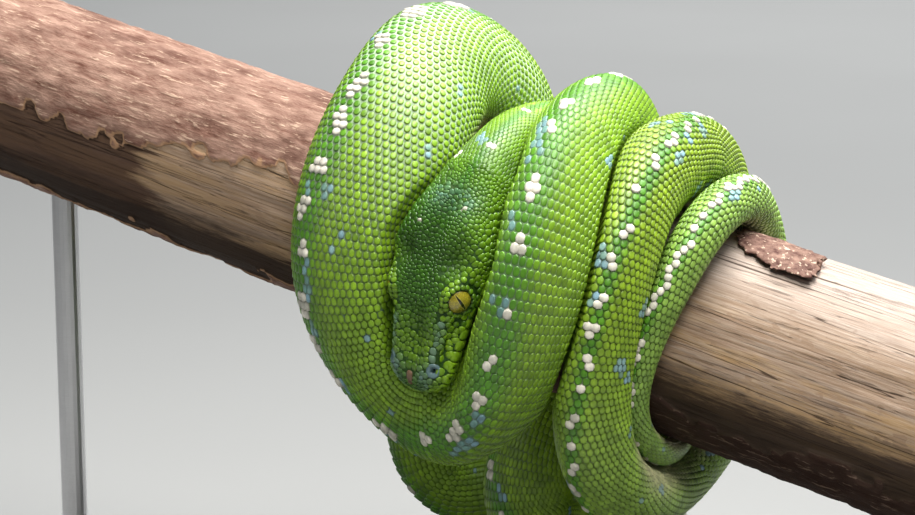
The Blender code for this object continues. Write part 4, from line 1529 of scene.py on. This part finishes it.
def bark_cover(along, around):
    """Where bark covers the wood, over 0, and how firmly: on top at the left, and under it all."""
    up = np.cos(around)
    left = np.clip((-20.0 - along) / 12.0, -1.0, 1.0)
    under = np.clip(np.interp(along, (-60.0, 60.0), (-0.88, -0.50)) - up, -1.0, 0.5) * 2.4
    slant = 0.16 + (along + 100.0) * 0.0022
    top = np.minimum(left, (up - slant) * 2.2)
    return np.maximum(top, under) + layered(along, around, BARK_EDGE)


def add_branch(look, settings):
    """The cut length of branch, with bark, bare wood, lengthwise cracks and sawn ends."""
    thick = settings.bark_thickness / MM
    along = np.linspace(-BRANCH_HALF_LENGTH, BRANCH_HALF_LENGTH, WOOD_ROWS)[:, None]
    along, around = np.broadcast_arrays(along, turns_round(WOOD_SIDES)[None])
    bark = np.clip(bark_cover(along, around) * 9.0 + 0.5, 0.0, 1.0)
    cracks = np.clip(layered(along, around, WOOD_CRACKS) - 0.55, 0.0, 1.0) * 2.2
    wood = 0.14 * layered(along, around, WOOD_GRAIN) - 0.8 * cracks
    rough = layered(along, around, BARK_ROUGHNESS, thick)
    radius = branch_radius(along, around) - WOOD_INSET + bark * rough + (1.0 - bark) * wood
    rings = radius[..., None] * np.stack([-np.sin(around), np.cos(around)], axis=2)
    points = np.concatenate([along[..., None], rings], axis=2)
    ends = {-1.0: [], 1.0: []}
    for row, direction in ((0, -1.0), (-1, 1.0)):
        for share in np.linspace(1.0, 0.0, END_RINGS)[1:]:
            ring = points[row] * (1.0, share, share)
            ring[:, 0] += direction * END_BULGE * (1.0 - share**8)
            ends[direction].append(ring)
    rows = np.concatenate([ends[-1.0][::-1], points, ends[1.0]])
    blank = np.zeros((END_RINGS - 1, WOOD_SIDES))
    marks = np.concatenate([blank, bark, blank]).reshape(-1, 1)
    faces = tube_faces(len(rows), WOOD_SIDES, inward=True)
    points = rows.reshape(-1, 3) * MM
    made = add_mesh("branch_wood", points, faces, look, np.repeat(marks, 3, axis=1))
    mend(made.data, END_WELD, close=False)
    made.data.set_sharp_from_angle(angle=SHARP_EDGE)
    made.matrix_world = standing(ALONG, -FRONT, UP, (0.0, 0.0, BRANCH_HEIGHT * MM))
    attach(made, "root")
    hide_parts("perch_branch")
    return made


FLAKE_ROWS = 56
FLAKE_COLUMNS = 36
FLAKE_TEARS = ((0.14, 4.0, 9, 12), (0.08, 1.6, 17, 13))
FLAKE_RIPPLE = ((0.35, 3.0, 40, 14),)
FLAKE_LIFT = 0.6


def add_flake(look, settings):
    """The loose flake: a curled plate with torn edges."""
    thick = settings.bark_thickness / MM
    row = np.linspace(-0.5, 0.5, FLAKE_ROWS)[:, None]
    column = np.linspace(-0.5, 0.5, FLAKE_COLUMNS)[None]
    row, column = np.broadcast_arrays(row, column)
    torn = layered(row * 60.0, column * 3.0 + 1.0, FLAKE_TEARS)
    wide = 1.0 - 0.5 * np.abs(2.0 * row) ** 3 + torn
    ahead = row * FLAKE_LENGTH * (1.0 + torn * (np.abs(row) > 0.4))
    offset = column * FLAKE_WIDTH * wide
    along = FLAKE_ALONG + ahead * math.cos(FLAKE_TURN) - offset * math.sin(FLAKE_TURN)
    aside = FLAKE_FRONT + ahead * math.sin(FLAKE_TURN) + offset * math.cos(FLAKE_TURN)
    around = aside / BRANCH_RADIUS
    curl = 2.4 * (2.0 * column) ** 2 * (0.4 + row) ** 2
    ripple = layered(along, around * 9.0, FLAKE_RIPPLE)
    base = branch_radius(along, around) + FLAKE_LIFT + curl
    edge = np.clip(6.0 * np.minimum(0.5 - np.abs(row), 0.5 - np.abs(column)), 0.0, 1.0)
    outward = np.sin(around)[..., None] * FRONT + np.cos(around)[..., None] * UP
    lifts = (0.5 * ripple + thick * (0.35 + 0.65 * edge), -0.2 * edge)
    upper, lower = (along[..., None] * ALONG + (base + lift)[..., None] * outward for lift in lifts)
    rings = np.concatenate([upper, lower[:, ::-1]], axis=1)
    points = lift_to_world(rings.reshape(-1, 3))
    faces = tube_faces(FLAKE_ROWS, rings.shape[1])
    made = add_mesh("bark_curl", points, faces, look, np.ones((len(points), 3)))
    mend(made.data)
    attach(made, "root")
    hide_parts("bark_flake")
    return made


# ---- finishes


def sign(operation, swapped=False):
    """A method that adds the Math node for one sign, with its sides the other way round if so."""
    def apply(self, other):
        pair = (other, self) if swapped else (self, other)
        return self.added(operation, *pair)
    return apply


class Value:
    """A node's output that sums can be written with: each sign adds the Math node that does it."""

    def __init__(self, look, socket):
        self.look = look
        self.socket = socket

    def added(self, operation, *values):
        settings = {"operation": operation}
        return self.look.node("ShaderNodeMath", settings, dict(enumerate(values)))

    __add__, __radd__ = sign("ADD"), sign("ADD", swapped=True)
    __sub__, __rsub__ = sign("SUBTRACT"), sign("SUBTRACT", swapped=True)
    __mul__, __rmul__ = sign("MULTIPLY"), sign("MULTIPLY", swapped=True)
    __truediv__ = sign("DIVIDE")
    __pow__ = sign("POWER")

    def at_most_one(self):
        return self.added("MINIMUM", self, 1.0)

    def absolute(self):
        return self.added("ABSOLUTE", self)


class Finish:
    """A material under construction, with one Principled shader."""

    def __init__(self, name, roughness=0.5, **constants):
        self.material = bpy.data.materials.new(name)
        self.material.use_nodes = True
        self.tree = self.material.node_tree
        self.shader = self.tree.nodes["Principled BSDF"]
        self.shader.inputs["Roughness"].default_value = roughness
        for socket, value in constants.items():
            self.shader.inputs[socket.replace("_", " ")].default_value = value

    def node(self, kind, settings=None, values=None, output=0):
        """Adds a node: its settings first, then the values or links of its sockets."""
        made = self.tree.nodes.new(kind)
        for name, value in (settings or {}).items():
            if name == "stops":
                self.set_stops(made.color_ramp, value)
            else:
                setattr(made, name, value)
        for socket, value in (values or {}).items():
            self.put(made.inputs[socket], value)
        return Value(self, made.outputs[output])

    def set_stops(self, ramp, stops):
        for element, (at, colour) in zip(ramp.elements, (stops[0], stops[-1])):
            element.position = at
            element.color = colour
        for at, colour in stops[1:-1]:
            ramp.elements.new(at).color = colour

    def put(self, socket, value):
        if isinstance(value, Value):
            self.tree.links.new(value.socket, socket)
        else:
            socket.default_value = value

    def feed(self, **sockets):
        for name, value in sockets.items():
            self.put(self.shader.inputs[name.replace("_", " ")], value)

    def mix(self, share, first, second):
        """A blend of two colours by a share from 0 to 1."""
        settings = {"data_type": "RGBA"}
        return self.node("ShaderNodeMix", settings, {0: share, 6: first, 7: second}, output=2)

    def tint(self, base, colour, value, low, high, most=None):
        """The base, covered with another colour as the value goes from low to high."""
        share = self.grey(low, high, value)
        return self.mix(share if most is None else share * most, base, colour)

    def spot(self):
        """Places on the piece itself, in metres."""
        return self.node("ShaderNodeTexCoord", output="Object")

    def split(self, vector):
        """The three parts of a vector."""
        parts = self.node("ShaderNodeSeparateXYZ", None, {"Vector": vector})
        return [Value(self, socket) for socket in parts.socket.node.outputs]

    def noise(self, scale, detail=3.0, roughness=0.55, stretch=(1.0, 1.0, 1.0)):
        """Cloudy noise on the piece itself, with its places stretched along the axes."""
        places = self.node("ShaderNodeMapping", None, {"Vector": self.spot(), "Scale": stretch})
        values = {"Vector": places, "Scale": scale, "Detail": detail, "Roughness": roughness}
        return self.node("ShaderNodeTexNoise", None, values)

    def streaks(self, along, scale, detail, roughness):
        """Noise drawn out along the piece's X axis, the more the smaller the first number is."""
        return self.noise(scale, detail, roughness, (along, 1.0, 1.0))

    def marking(self):
        """The colours laid on the mesh itself."""
        settings = {"attribute_name": "marking"}
        return self.node("ShaderNodeAttribute", settings, output="Color")

    def relief(self, height, distance, strength=1.0):
        values = {"Height": height, "Distance": distance, "Strength": strength}
        return self.node("ShaderNodeBump", None, values)

    def grey(self, low, high, value):
        """A value's range from low to high spread over 0 to 1, and held there."""
        values = {"Value": value, "From Min": low, "From Max": high}
        return self.node("ShaderNodeMapRange", None, values)


# Colours that vary the settings' own within a finish.
SCALE_SHADOW = (0.02, 0.06, 0.01, 1.0)
CREASE_SHADOW = (0.01, 0.03, 0.01, 1.0)
IRIS_VEIN = (0.10, 0.085, 0.02, 1.0)
IRIS_LOW = (0.06, 0.07, 0.015, 1.0)
SLIT_HALO = (0.62, 0.55, 0.16, 1.0)
SLIT_BLACK = (0.004, 0.004, 0.003, 1.0)
# Painted shade at the iris's rim, where the eyeball meets its lids.
IRIS_RIM_SHADE = (0.006, 0.008, 0.004, 1.0)
GOLDEN_WOOD = (0.45, 0.28, 0.12, 1.0)
# Paler top of the wood at the right: partly faded by the sun, partly painted light.
FADED_AND_LIT_WOOD = (0.60, 0.53, 0.50, 1.0)
INNER_BARK = (0.060, 0.028, 0.018, 1.0)
# Painted shade on the underside of the bare wood.
WOOD_UNDERSIDE_SHADE = (0.030, 0.018, 0.012, 1.0)
# Painted shade in the wood's cracks.
CRACK_SHADE = (0.035, 0.018, 0.011, 1.0)
SAWN_WOOD = (0.55, 0.42, 0.28, 1.0)
# Painted shade in the bark's hollows, where its relief is low.
BARK_HOLLOW_SHADE = (0.11, 0.045, 0.030, 1.0)
BARK_PATCH = (0.075, 0.030, 0.020, 1.0)
# Painted shade on the bark under the branch at the right.
BARK_UNDERSIDE_SHADE = (0.022, 0.011, 0.007, 1.0)
BARK_FLECK = (0.52, 0.37, 0.27, 1.0)
TORN_BARK = (0.42, 0.25, 0.13, 1.0)
# Painted shade in the loose flake's hollows, where its relief is low.
CURL_HOLLOW_SHADE = (0.07, 0.025, 0.018, 1.0)
CURL_FLECK = (0.60, 0.46, 0.35, 1.0)
LACQUER_PORE = (0.075, 0.068, 0.062, 1.0)
STEEL_DULL = (0.40, 0.40, 0.41, 1.0)
FLOOR_CLOUD = (0.6, 0.6, 0.6, 1.0)
# The eye's slit and iris in its own millimetres: half width and half length, and the edges of the
# painted shade at the iris's rim.
SLIT_SIZE = (0.36, 2.9)
IRIS_EDGE = (3.05, 3.35)


def scale_finish(name, gloss, rough):
    """Waxy scales: the marking's colour, mottled within each scale, with a soft sheen."""
    look = Finish(name, Specular_IOR_Level=gloss)
    cloud = look.noise(260.0, 3.0)
    fine = look.noise(1900.0, 2.0)
    marking = look.marking()
    tone = look.tint(marking, look.mix(0.5, marking, SCALE_SHADOW), cloud, 0.72, 0.35)
    relief = look.relief(0.6 * fine + 0.4 * cloud, 0.00012, 0.5)
    look.feed(Base_Color=tone, Roughness=rough + 0.17 * cloud, Normal=relief)
    return look.material


def skin_finish():
    """Skin between the scales: duller, with fine creases."""
    look = Finish("python_skin", Specular_IOR_Level=0.35)
    crease = look.noise(700.0, 4.0, 0.65)
    marking = look.marking()
    tone = look.tint(marking, look.mix(0.45, marking, CREASE_SHADOW), crease, 0.65, 0.35)
    relief = look.relief(crease, 0.0002, 0.7)
    look.feed(Base_Color=tone, Roughness=0.5 + 0.25 * crease, Normal=relief)
    return look.material


def eye_finish(settings):
    """An olive iris with a dark network and a slit, painted shade at its rim, under a clear wet
    front.
    """
    look = Finish("python_eye", 0.25, Coat_Weight=0.6, Coat_Roughness=0.03)
    spot = look.spot()
    x, y, _ = look.split(spot)
    values = {"Vector": spot, "Scale": 1500.0}
    network = look.node("ShaderNodeTexVoronoi", {"feature": "DISTANCE_TO_EDGE"}, values)
    mottled = look.noise(1100.0, 4.0, 0.7)
    veins = network + 0.25 * mottled - 0.12
    tone = look.tint(settings.iris_yellow, IRIS_VEIN, veins, 0.16, 0.0, 0.6)
    tone = look.tint(tone, IRIS_LOW, y, -0.0006, -0.0030, 0.7)
    wide, long = SLIT_SIZE
    slit = (x / MM).absolute() / wide + ((y / MM).absolute() / long) ** 2.0
    tone = look.tint(tone, SLIT_HALO, slit, 1.75, 1.3, 0.45)
    tone = look.tint(tone, SLIT_BLACK, slit, 1.25, 1.0)
    # Painted shade at the rim, where the eyeball meets its lids.
    tone = look.tint(tone, IRIS_RIM_SHADE, (x * x + y * y) ** 0.5 / MM, *IRIS_EDGE)
    relief = look.relief(network * 0.5 + mottled * 0.5, 0.00008, 0.4)
    look.feed(Base_Color=tone, Normal=relief)
    return look.material


def bare_wood(look, settings, grain, fibre, crack, right):
    """Weathered wood: its grain, stains, cracks and the growth rings of its sawn ends, with painted
    shade in the cracks and on the underside and painted light on the top at the right.
    """
    spot = look.spot()
    x, _, z = look.split(spot)
    pale, brown = settings.wood_tan, settings.wood_brown
    broad = look.streaks(0.12, 110.0, 8.0, 0.72)
    speck = look.streaks(0.6, 230.0, 3.0, 0.5)
    tone = look.tint(brown, pale, grain, 0.40, 0.60)
    tone = look.tint(tone, brown, broad, 0.62, 0.40, 0.5)
    tone = look.tint(tone, brown, fibre, 0.50, 0.42, 0.6)
    golden = look.grey(0.022, 0.008, z) * look.grey(0.44, 0.56, broad)
    tone = look.mix(golden * 0.65, tone, GOLDEN_WOOD)
    tone = look.tint(tone, brown, speck, 0.63, 0.66, 0.6)
    # The top at the right paler: partly faded by the sun, partly painted light.
    faded_and_lit = look.grey(0.016, 0.028, z + 0.012 * broad - 0.006) * right
    tone = look.mix(faded_and_lit * 0.4, tone, FADED_AND_LIT_WOOD)
    tone = look.mix((1.0 - right) * 0.4, tone, brown)
    tone = look.tint(tone, INNER_BARK, x + 0.05 * broad - 0.025 + 0.35 * z, -0.086, -0.094, 0.85)
    # Painted shade along the underside, reaching less high at the left.
    shaded = z + 0.026 * broad - 0.010 * grain + 0.010 * (1.0 - right)
    tone = look.tint(tone, WOOD_UNDERSIDE_SHADE, shaded, 0.007, 0.001, 0.93)
    # Painted shade in the cracks.
    tone = look.mix(crack * 0.8, tone, CRACK_SHADE)
    values = {"Vector": spot, "Scale": 90.0, "Distortion": 2.5, "Detail": 3.0}
    rings = look.node("ShaderNodeTexWave", {"wave_type": "RINGS", "rings_direction": "X"}, values)
    facing = look.split(look.node("ShaderNodeTexCoord", output="Normal"))[0].absolute()
    end = look.mix(0.35, look.tint(pale, brown, rings, 0.2, 0.8), SAWN_WOOD)
    return look.tint(tone, end, facing, 0.85, 0.95)


def flaking_bark(look, settings, cover, flake, fleck, right):
    """Bark: red and flecked on top at the left, torn tan at its edge, with painted shade in its
    hollows and under the right.
    """
    patch = look.streaks(0.5, 42.0, 6.0, 0.65)
    # Painted shade in the hollows, where the flake relief is low.
    bark = look.tint(BARK_HOLLOW_SHADE, settings.bark_red, flake, 0.35, 0.62)
    bark = look.tint(bark, BARK_PATCH, patch, 0.52, 0.62, 0.7)
    # Painted shade on the bark underneath, at the right.
    bark = look.mix(right * 0.9, bark, BARK_UNDERSIDE_SHADE)
    bark = look.tint(bark, BARK_FLECK, fleck, 0.58, 0.66, 0.65 - 0.4 * right)
    torn = look.grey(1.0, 0.8, cover) * (1.0 - right)
    return look.mix(torn * 0.6, bark, TORN_BARK)


def wood_finish(settings):
    """The branch: bare wood where the mesh is marked as such, and flaking bark elsewhere."""
    look = Finish("perch_wood", Specular_IOR_Level=0.15)
    right = look.grey(-0.02, 0.06, look.split(look.spot())[0])
    grain = look.streaks(0.03, 1300.0, 8.0, 0.78)
    fibre = look.streaks(0.018, 3400.0, 4.0, 0.7)
    hair = look.streaks(0.02, 620.0, 3.0, 0.55)
    split = look.streaks(0.016, 170.0, 3.0, 0.5)
    flake = look.streaks(0.3, 260.0, 6.0, 0.72)
    fleck = look.streaks(0.16, 900.0, 4.0, 0.65)
    crack = look.grey(0.012, 0.002, (hair - 0.44).absolute()) * 0.6
    crack = (crack + look.grey(0.007, 0.002, (split - 0.52).absolute())).at_most_one()
    cover = look.node("ShaderNodeSeparateColor", None, {0: look.marking()})
    covered = look.grey(0.42, 0.58, cover + 0.35 * flake - 0.17)
    wood = bare_wood(look, settings, grain, fibre, crack, right)
    bark = flaking_bark(look, settings, cover, flake, fleck, right)
    height = (1.0 - covered) * (0.5 * grain + 0.4 * fibre - 1.2 * crack)
    height = height + covered * (flake + 0.7 * fleck)
    relief = look.relief(height, 0.0006, 0.8)
    tone = look.mix(covered, wood, bark)
    look.feed(Base_Color=tone, Roughness=0.62 + 0.25 * grain, Normal=relief)
    return look.material


def bark_finish(settings):
    """Reddish-brown bark with pale flecks and painted shade in its hollows."""
    look = Finish("bark_curl", Specular_IOR_Level=0.25)
    flake = look.noise(300.0, 5.0, 0.65)
    fleck = look.noise(620.0, 3.0, 0.6)
    # Painted shade in the hollows, where the relief is low.
    tone = look.tint(CURL_HOLLOW_SHADE, settings.bark_red, flake, 0.35, 0.70)
    tone = look.tint(tone, CURL_FLECK, fleck, 0.60, 0.67, 0.8)
    relief = look.relief(flake + 0.4 * fleck, 0.0007, 0.9)
    look.feed(Base_Color=tone, Roughness=0.7 + 0.2 * flake, Normal=relief)
    return look.material


def base_finish(settings):
    """Satin black lacquer over open-grained board."""
    look = Finish("stand_lacquer", Specular_IOR_Level=0.5, Coat_Weight=0.15, Coat_Roughness=0.2)
    pores = look.streaks(0.05, 900.0, 4.0, 0.6)
    tone = look.tint(settings.base_colour, LACQUER_PORE, pores, 0.4, 0.7, 0.5)
    rough = 0.30 + 0.12 * look.noise(30.0)
    look.feed(Base_Color=tone, Roughness=rough, Normal=look.relief(pores, 0.0002, 0.35))
    return look.material


def steel_finish(settings):
    """Brushed stainless steel, brushed round the rod."""
    look = Finish("stand_steel", Metallic=1.0)
    brushed = look.noise(400.0, 3.0, 0.6, (1.0, 1.0, 30.0))
    tone = look.tint(settings.steel_colour, STEEL_DULL, brushed, 0.3, 0.7, 0.25)
    rough = 0.22 + 0.18 * brushed + 0.08 * look.noise(90.0, 2.0)
    look.feed(Base_Color=tone, Roughness=rough, Normal=look.relief(brushed, 0.00005, 0.4))
    return look.material


def floor_finish(settings):
    """Pale matt floor."""
    look = Finish("floor_pale", 0.85)
    cloud = look.noise(1.5)
    tone = look.tint(settings.floor_colour, FLOOR_CLOUD, cloud, 0.3, 0.7, 0.06)
    look.feed(Base_Color=tone, Roughness=0.8 + 0.1 * cloud)
    return look.material


# ---- stage


SENSOR_WIDTH = 36.0
FLOOR_SIDES = 96
MIDDLE = (0.0, 0.0, BRANCH_HEIGHT * MM)
# Lamps: name, place, what it is aimed at, size, power and colour.
LAMPS = (
    ("room_light", (1.6, 2.2, 3.2), (0.0, 1.5, 0.0), 3.0, 190.0, (0.95, 0.98, 1.0)),
    ("floor_light", (-0.3, 1.9, 1.5), (-0.3, 2.2, 0.0), 1.0, 20.0, (1.0, 1.0, 1.0)),
    ("top_light", (0.12, 0.04, 0.80), MIDDLE, 0.32, 8.8, (1.0, 0.99, 0.96)),
    ("front_light", (0.30, -0.42, 0.86), MIDDLE, 0.30, 6.3, (1.0, 0.98, 0.94)),
    ("fill_light", (-0.6, -0.60, 0.62), MIDDLE, 0.5, 1.8, (0.96, 0.98, 1.0)),
)
SURROUNDINGS = (0.80, 0.82, 0.84, 1.0)


def add_area_light(name, place_at, aim, size, power, colour):
    data = bpy.data.lights.new(name, "AREA")
    data.shape = "DISK"
    data.size = size
    data.energy = power
    data.color = colour
    made = put_in_scene(name, data)
    made.location = place_at
    made.visible_camera = False
    made.rotation_euler = (Vector(aim) - Vector(place_at)).to_track_quat("-Z", "Y").to_euler()


def add_stage(settings):
    """Floor, soft lights, pale surroundings and the camera."""
    shape = bmesh.new()
    radius = settings.floor_radius
    bmesh.ops.create_circle(shape, cap_ends=True, segments=FLOOR_SIDES, radius=radius)
    mesh = bpy.data.meshes.new("floor")
    shape.to_mesh(mesh)
    shape.free()
    floor = add_object("floor", mesh, floor_finish(settings))
    floor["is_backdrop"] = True
    for name, place_at, aim, size, power, colour in LAMPS:
        add_area_light(name, place_at, aim, size, power * settings.light_power, colour)
    bpy.context.scene.view_settings.view_transform = "Standard"
    world = bpy.data.worlds.new("surroundings")
    world.use_nodes = True
    backdrop = world.node_tree.nodes["Background"]
    backdrop.inputs["Color"].default_value = SURROUNDINGS
    backdrop.inputs["Strength"].default_value = settings.surroundings
    bpy.context.scene.world = world
    add_camera(settings)


def add_camera(settings):
    """A camera to the right of the front, looking down a little at the branch's middle."""
    turn, down = settings.camera_turn, settings.camera_down
    level = math.cos(down)
    ahead = Vector((-math.sin(turn) * level, math.cos(turn) * level, -math.sin(down)))
    right = Vector((math.cos(turn), math.sin(turn), 0.0))
    above = right.cross(ahead)
    lens = bpy.data.cameras.new("camera")
    lens.lens = settings.camera_lens
    lens.sensor_width = SENSOR_WIDTH
    made = put_in_scene("camera", lens)
    centre = Vector(MIDDLE) - settings.camera_drop * above
    centre = centre - settings.camera_distance * ahead
    made.matrix_world = standing(right, above, -ahead, centre)
    bpy.context.scene.camera = made


# ---- the add-on's settings


def colour_setting(name, about, default):
    return FloatVectorProperty(
        name=name, description=about, size=4, min=0.0, max=1.0, subtype="COLOR", default=default
    )


def length_setting(name, about, default):
    return FloatProperty(name=name, description=about, default=default, unit="LENGTH", min=0.0)


def angle_setting(name, about, default):
    return FloatProperty(name=name, description=about, default=default, subtype="ANGLE")


class SkinSettings(bpy.types.PropertyGroup):
    """Sizes and colours of the snake."""

    seed: IntProperty(name="Seed", description="Picks an arrangement of spots", default=11, min=0)
    coat_depth: length_setting("Coat depth", "How far the skin lies inside the flesh", 0.0005)
    scale_height: length_setting("Scale height", "Rise of a body scale over the skin", 0.00023)
    flank_green: colour_setting("Flank green", "Scales of the sides", (0.240, 0.43, 0.012, 1.0))
    flank_olive: colour_setting("Flank olive", "Sides of the rear coils", (0.30, 0.40, 0.015, 1.0))
    spine_green: colour_setting("Spine green", "Scales along the back", (0.095, 0.30, 0.010, 1.0))
    head_green: colour_setting("Head green", "Scales of the crown", (0.046, 0.155, 0.004, 1.0))
    belly_cream: colour_setting("Belly cream", "Plates of the belly", (0.62, 0.60, 0.33, 1.0))
    spot_cream: colour_setting("Spot cream", "Raised pale scales", (0.90, 0.84, 0.72, 1.0))
    fleck_blue: colour_setting("Fleck blue", "Pale blue scales", (0.27, 0.45, 0.60, 1.0))
    stretched_pale: colour_setting("Stretched pale", "Bare stretched skin", (0.58, 0.76, 0.50, 1.0))
    canthus_blue: colour_setting("Canthus blue", "From nostril to eye", (0.17, 0.27, 0.30, 1.0))
    rostral_pink: colour_setting("Rostral pink", "Tip of the snout", (0.22, 0.115, 0.075, 1.0))
    iris_yellow: colour_setting("Iris yellow", "Iris between its veins", (0.37, 0.315, 0.018, 1.0))


class PerchSettings(bpy.types.PropertyGroup):
    """Sizes and colours of the branch."""

    bark_thickness: length_setting("Bark thickness", "Rise of the bark over the wood", 0.0009)
    wood_tan: colour_setting("Wood tan", "Weathered wood", (0.56, 0.455, 0.37, 1.0))
    wood_brown: colour_setting("Wood brown", "Darker grain", (0.28, 0.185, 0.12, 1.0))
    bark_red: colour_setting("Bark red", "Flaking bark", (0.30, 0.185, 0.14, 1.0))


class StandSettings(bpy.types.PropertyGroup):
    """Colours of the display stand."""

    base_colour: colour_setting("Base", "Lacquer of the base", (0.030, 0.028, 0.027, 1.0))
    steel_colour: colour_setting("Steel", "Rods and collars", (0.62, 0.62, 0.63, 1.0))


class StageSettings(bpy.types.PropertyGroup):
    """Floor, light and camera."""

    floor_colour: colour_setting("Floor", "Pale floor", (0.27, 0.27, 0.265, 1.0))
    floor_radius: length_setting("Floor radius", "Radius of the round floor", 9.0)
    light_power: FloatProperty(name="Light", description="Strength of the lamps", default=1.0)
    surroundings: FloatProperty(name="Surroundings", description="Light all round", default=0.10)
    camera_turn: angle_setting("Camera turn", "From the front to the right", math.radians(18.0))
    camera_down: angle_setting("Camera down", "How far the camera looks down", math.radians(12.0))
    camera_distance: length_setting("Camera distance", "To the middle of the view", 0.75)
    camera_drop: length_setting("Camera drop", "Middle of the view under the branch's", 0.0043)
    camera_lens: FloatProperty(name="Lens", description="Focal length in mm", default=100.0)


# ---- the add-on's operators


@functools.cache
def scales_look():
    return scale_finish("python_scale", 0.5, 0.33)


@functools.cache
def head_look():
    return scale_finish("python_head_scale", 0.38, 0.25)


class PYTHON_OT_skin(bpy.types.Operator):
    """Lay one skin over the whole snake"""

    bl_idname = "python_model.skin"
    bl_label = "Skin"

    def execute(self, context):
        add_skin(skin_finish())
        return {"FINISHED"}


class PYTHON_OT_body_scales(bpy.types.Operator):
    """Seat the scales and belly plates of the neck, trunk and tail"""

    bl_idname = "python_model.body_scales"
    bl_label = "Body scales"

    def execute(self, context):
        first = HEAD_LENGTH
        for name, last in LENGTHS:
            add_trunk_scales(name, first, last, scales_look(), context.scene.python_skin)
            first = last
        return {"FINISHED"}


class PYTHON_OT_head_scales(bpy.types.Operator):
    """Seat the small scales of the head and the plates of its lips, nose and eyelids"""

    bl_idname = "python_model.head_scales"
    bl_label = "Head scales"

    def execute(self, context):
        add_head_scales(head_look(), context.scene.python_skin)
        add_head_plates(head_look(), context.scene.python_skin)
        return {"FINISHED"}


class PYTHON_OT_eyes(bpy.types.Operator):
    """Set both eyes in their sockets"""

    bl_idname = "python_model.eyes"
    bl_label = "Eyes"

    def execute(self, context):
        look = eye_finish(context.scene.python_skin)
        for name, side in (("eye_left", 1.0), ("eye_right", -1.0)):
            add_eye(name, side, look)
        return {"FINISHED"}


class PYTHON_OT_perch(bpy.types.Operator):
    """Build the branch with its bark and the loose flake on it"""

    bl_idname = "python_model.perch"
    bl_label = "Perch"

    def execute(self, context):
        settings = context.scene.python_perch
        add_branch(wood_finish(settings), settings)
        add_flake(bark_finish(settings), settings)
        return {"FINISHED"}


class PYTHON_OT_stand(bpy.types.Operator):
    """Finish the stand's base, rods and collars"""

    bl_idname = "python_model.stand"
    bl_label = "Stand"

    def execute(self, context):
        settings = context.scene.python_stand
        looks = {"stand_base": base_finish(settings), "": steel_finish(settings)}
        for name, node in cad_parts.items():
            if name.startswith("stand_"):
                node.data.materials.clear()
                node.data.materials.append(looks.get(name, looks[""]))
        return {"FINISHED"}


class PYTHON_OT_stage(bpy.types.Operator):
    """Lay the floor and set the lights and the camera"""

    bl_idname = "python_model.stage"
    bl_label = "Stage"

    def execute(self, context):
        add_stage(context.scene.python_stage)
        return {"FINISHED"}


OPERATORS = (
    PYTHON_OT_skin,
    PYTHON_OT_body_scales,
    PYTHON_OT_head_scales,
    PYTHON_OT_eyes,
    PYTHON_OT_perch,
    PYTHON_OT_stand,
    PYTHON_OT_stage,
)


class PYTHON_PT_panel(bpy.types.Panel):
    """Lists the pieces of the model and their settings"""

    bl_label = "Tree python model"
    bl_space_type = "VIEW_3D"
    bl_region_type = "UI"
    bl_category = "Python"

    def draw(self, context):
        for operator in OPERATORS:
            self.layout.operator(operator.bl_idname)
        for group in SETTINGS:
            settings = getattr(context.scene, group)
            for name in settings.__annotations__:
                self.layout.prop(settings, name)


SETTINGS = {
    "python_skin": SkinSettings,
    "python_perch": PerchSettings,
    "python_stand": StandSettings,
    "python_stage": StageSettings,
}


def register():
    for group, kind in SETTINGS.items():
        bpy.utils.register_class(kind)
        setattr(bpy.types.Scene, group, PointerProperty(type=kind))
    for kind in OPERATORS + (PYTHON_PT_panel,):
        bpy.utils.register_class(kind)


def unregister():
    for kind in (PYTHON_PT_panel,) + OPERATORS[::-1]:
        bpy.utils.unregister_class(kind)
    for group, kind in SETTINGS.items():
        delattr(bpy.types.Scene, group)
        bpy.utils.unregister_class(kind)


def main():
    register()
    for operator in OPERATORS:
        module, name = operator.bl_idname.split(".")
        getattr(getattr(bpy.ops, module), name)()
    boxes = {"cad": CAD_BOX, "visual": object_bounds()}
    {name: [list(corner) for corner in box] for name, box in boxes.items()}


if __name__ == "__main__":
    main()
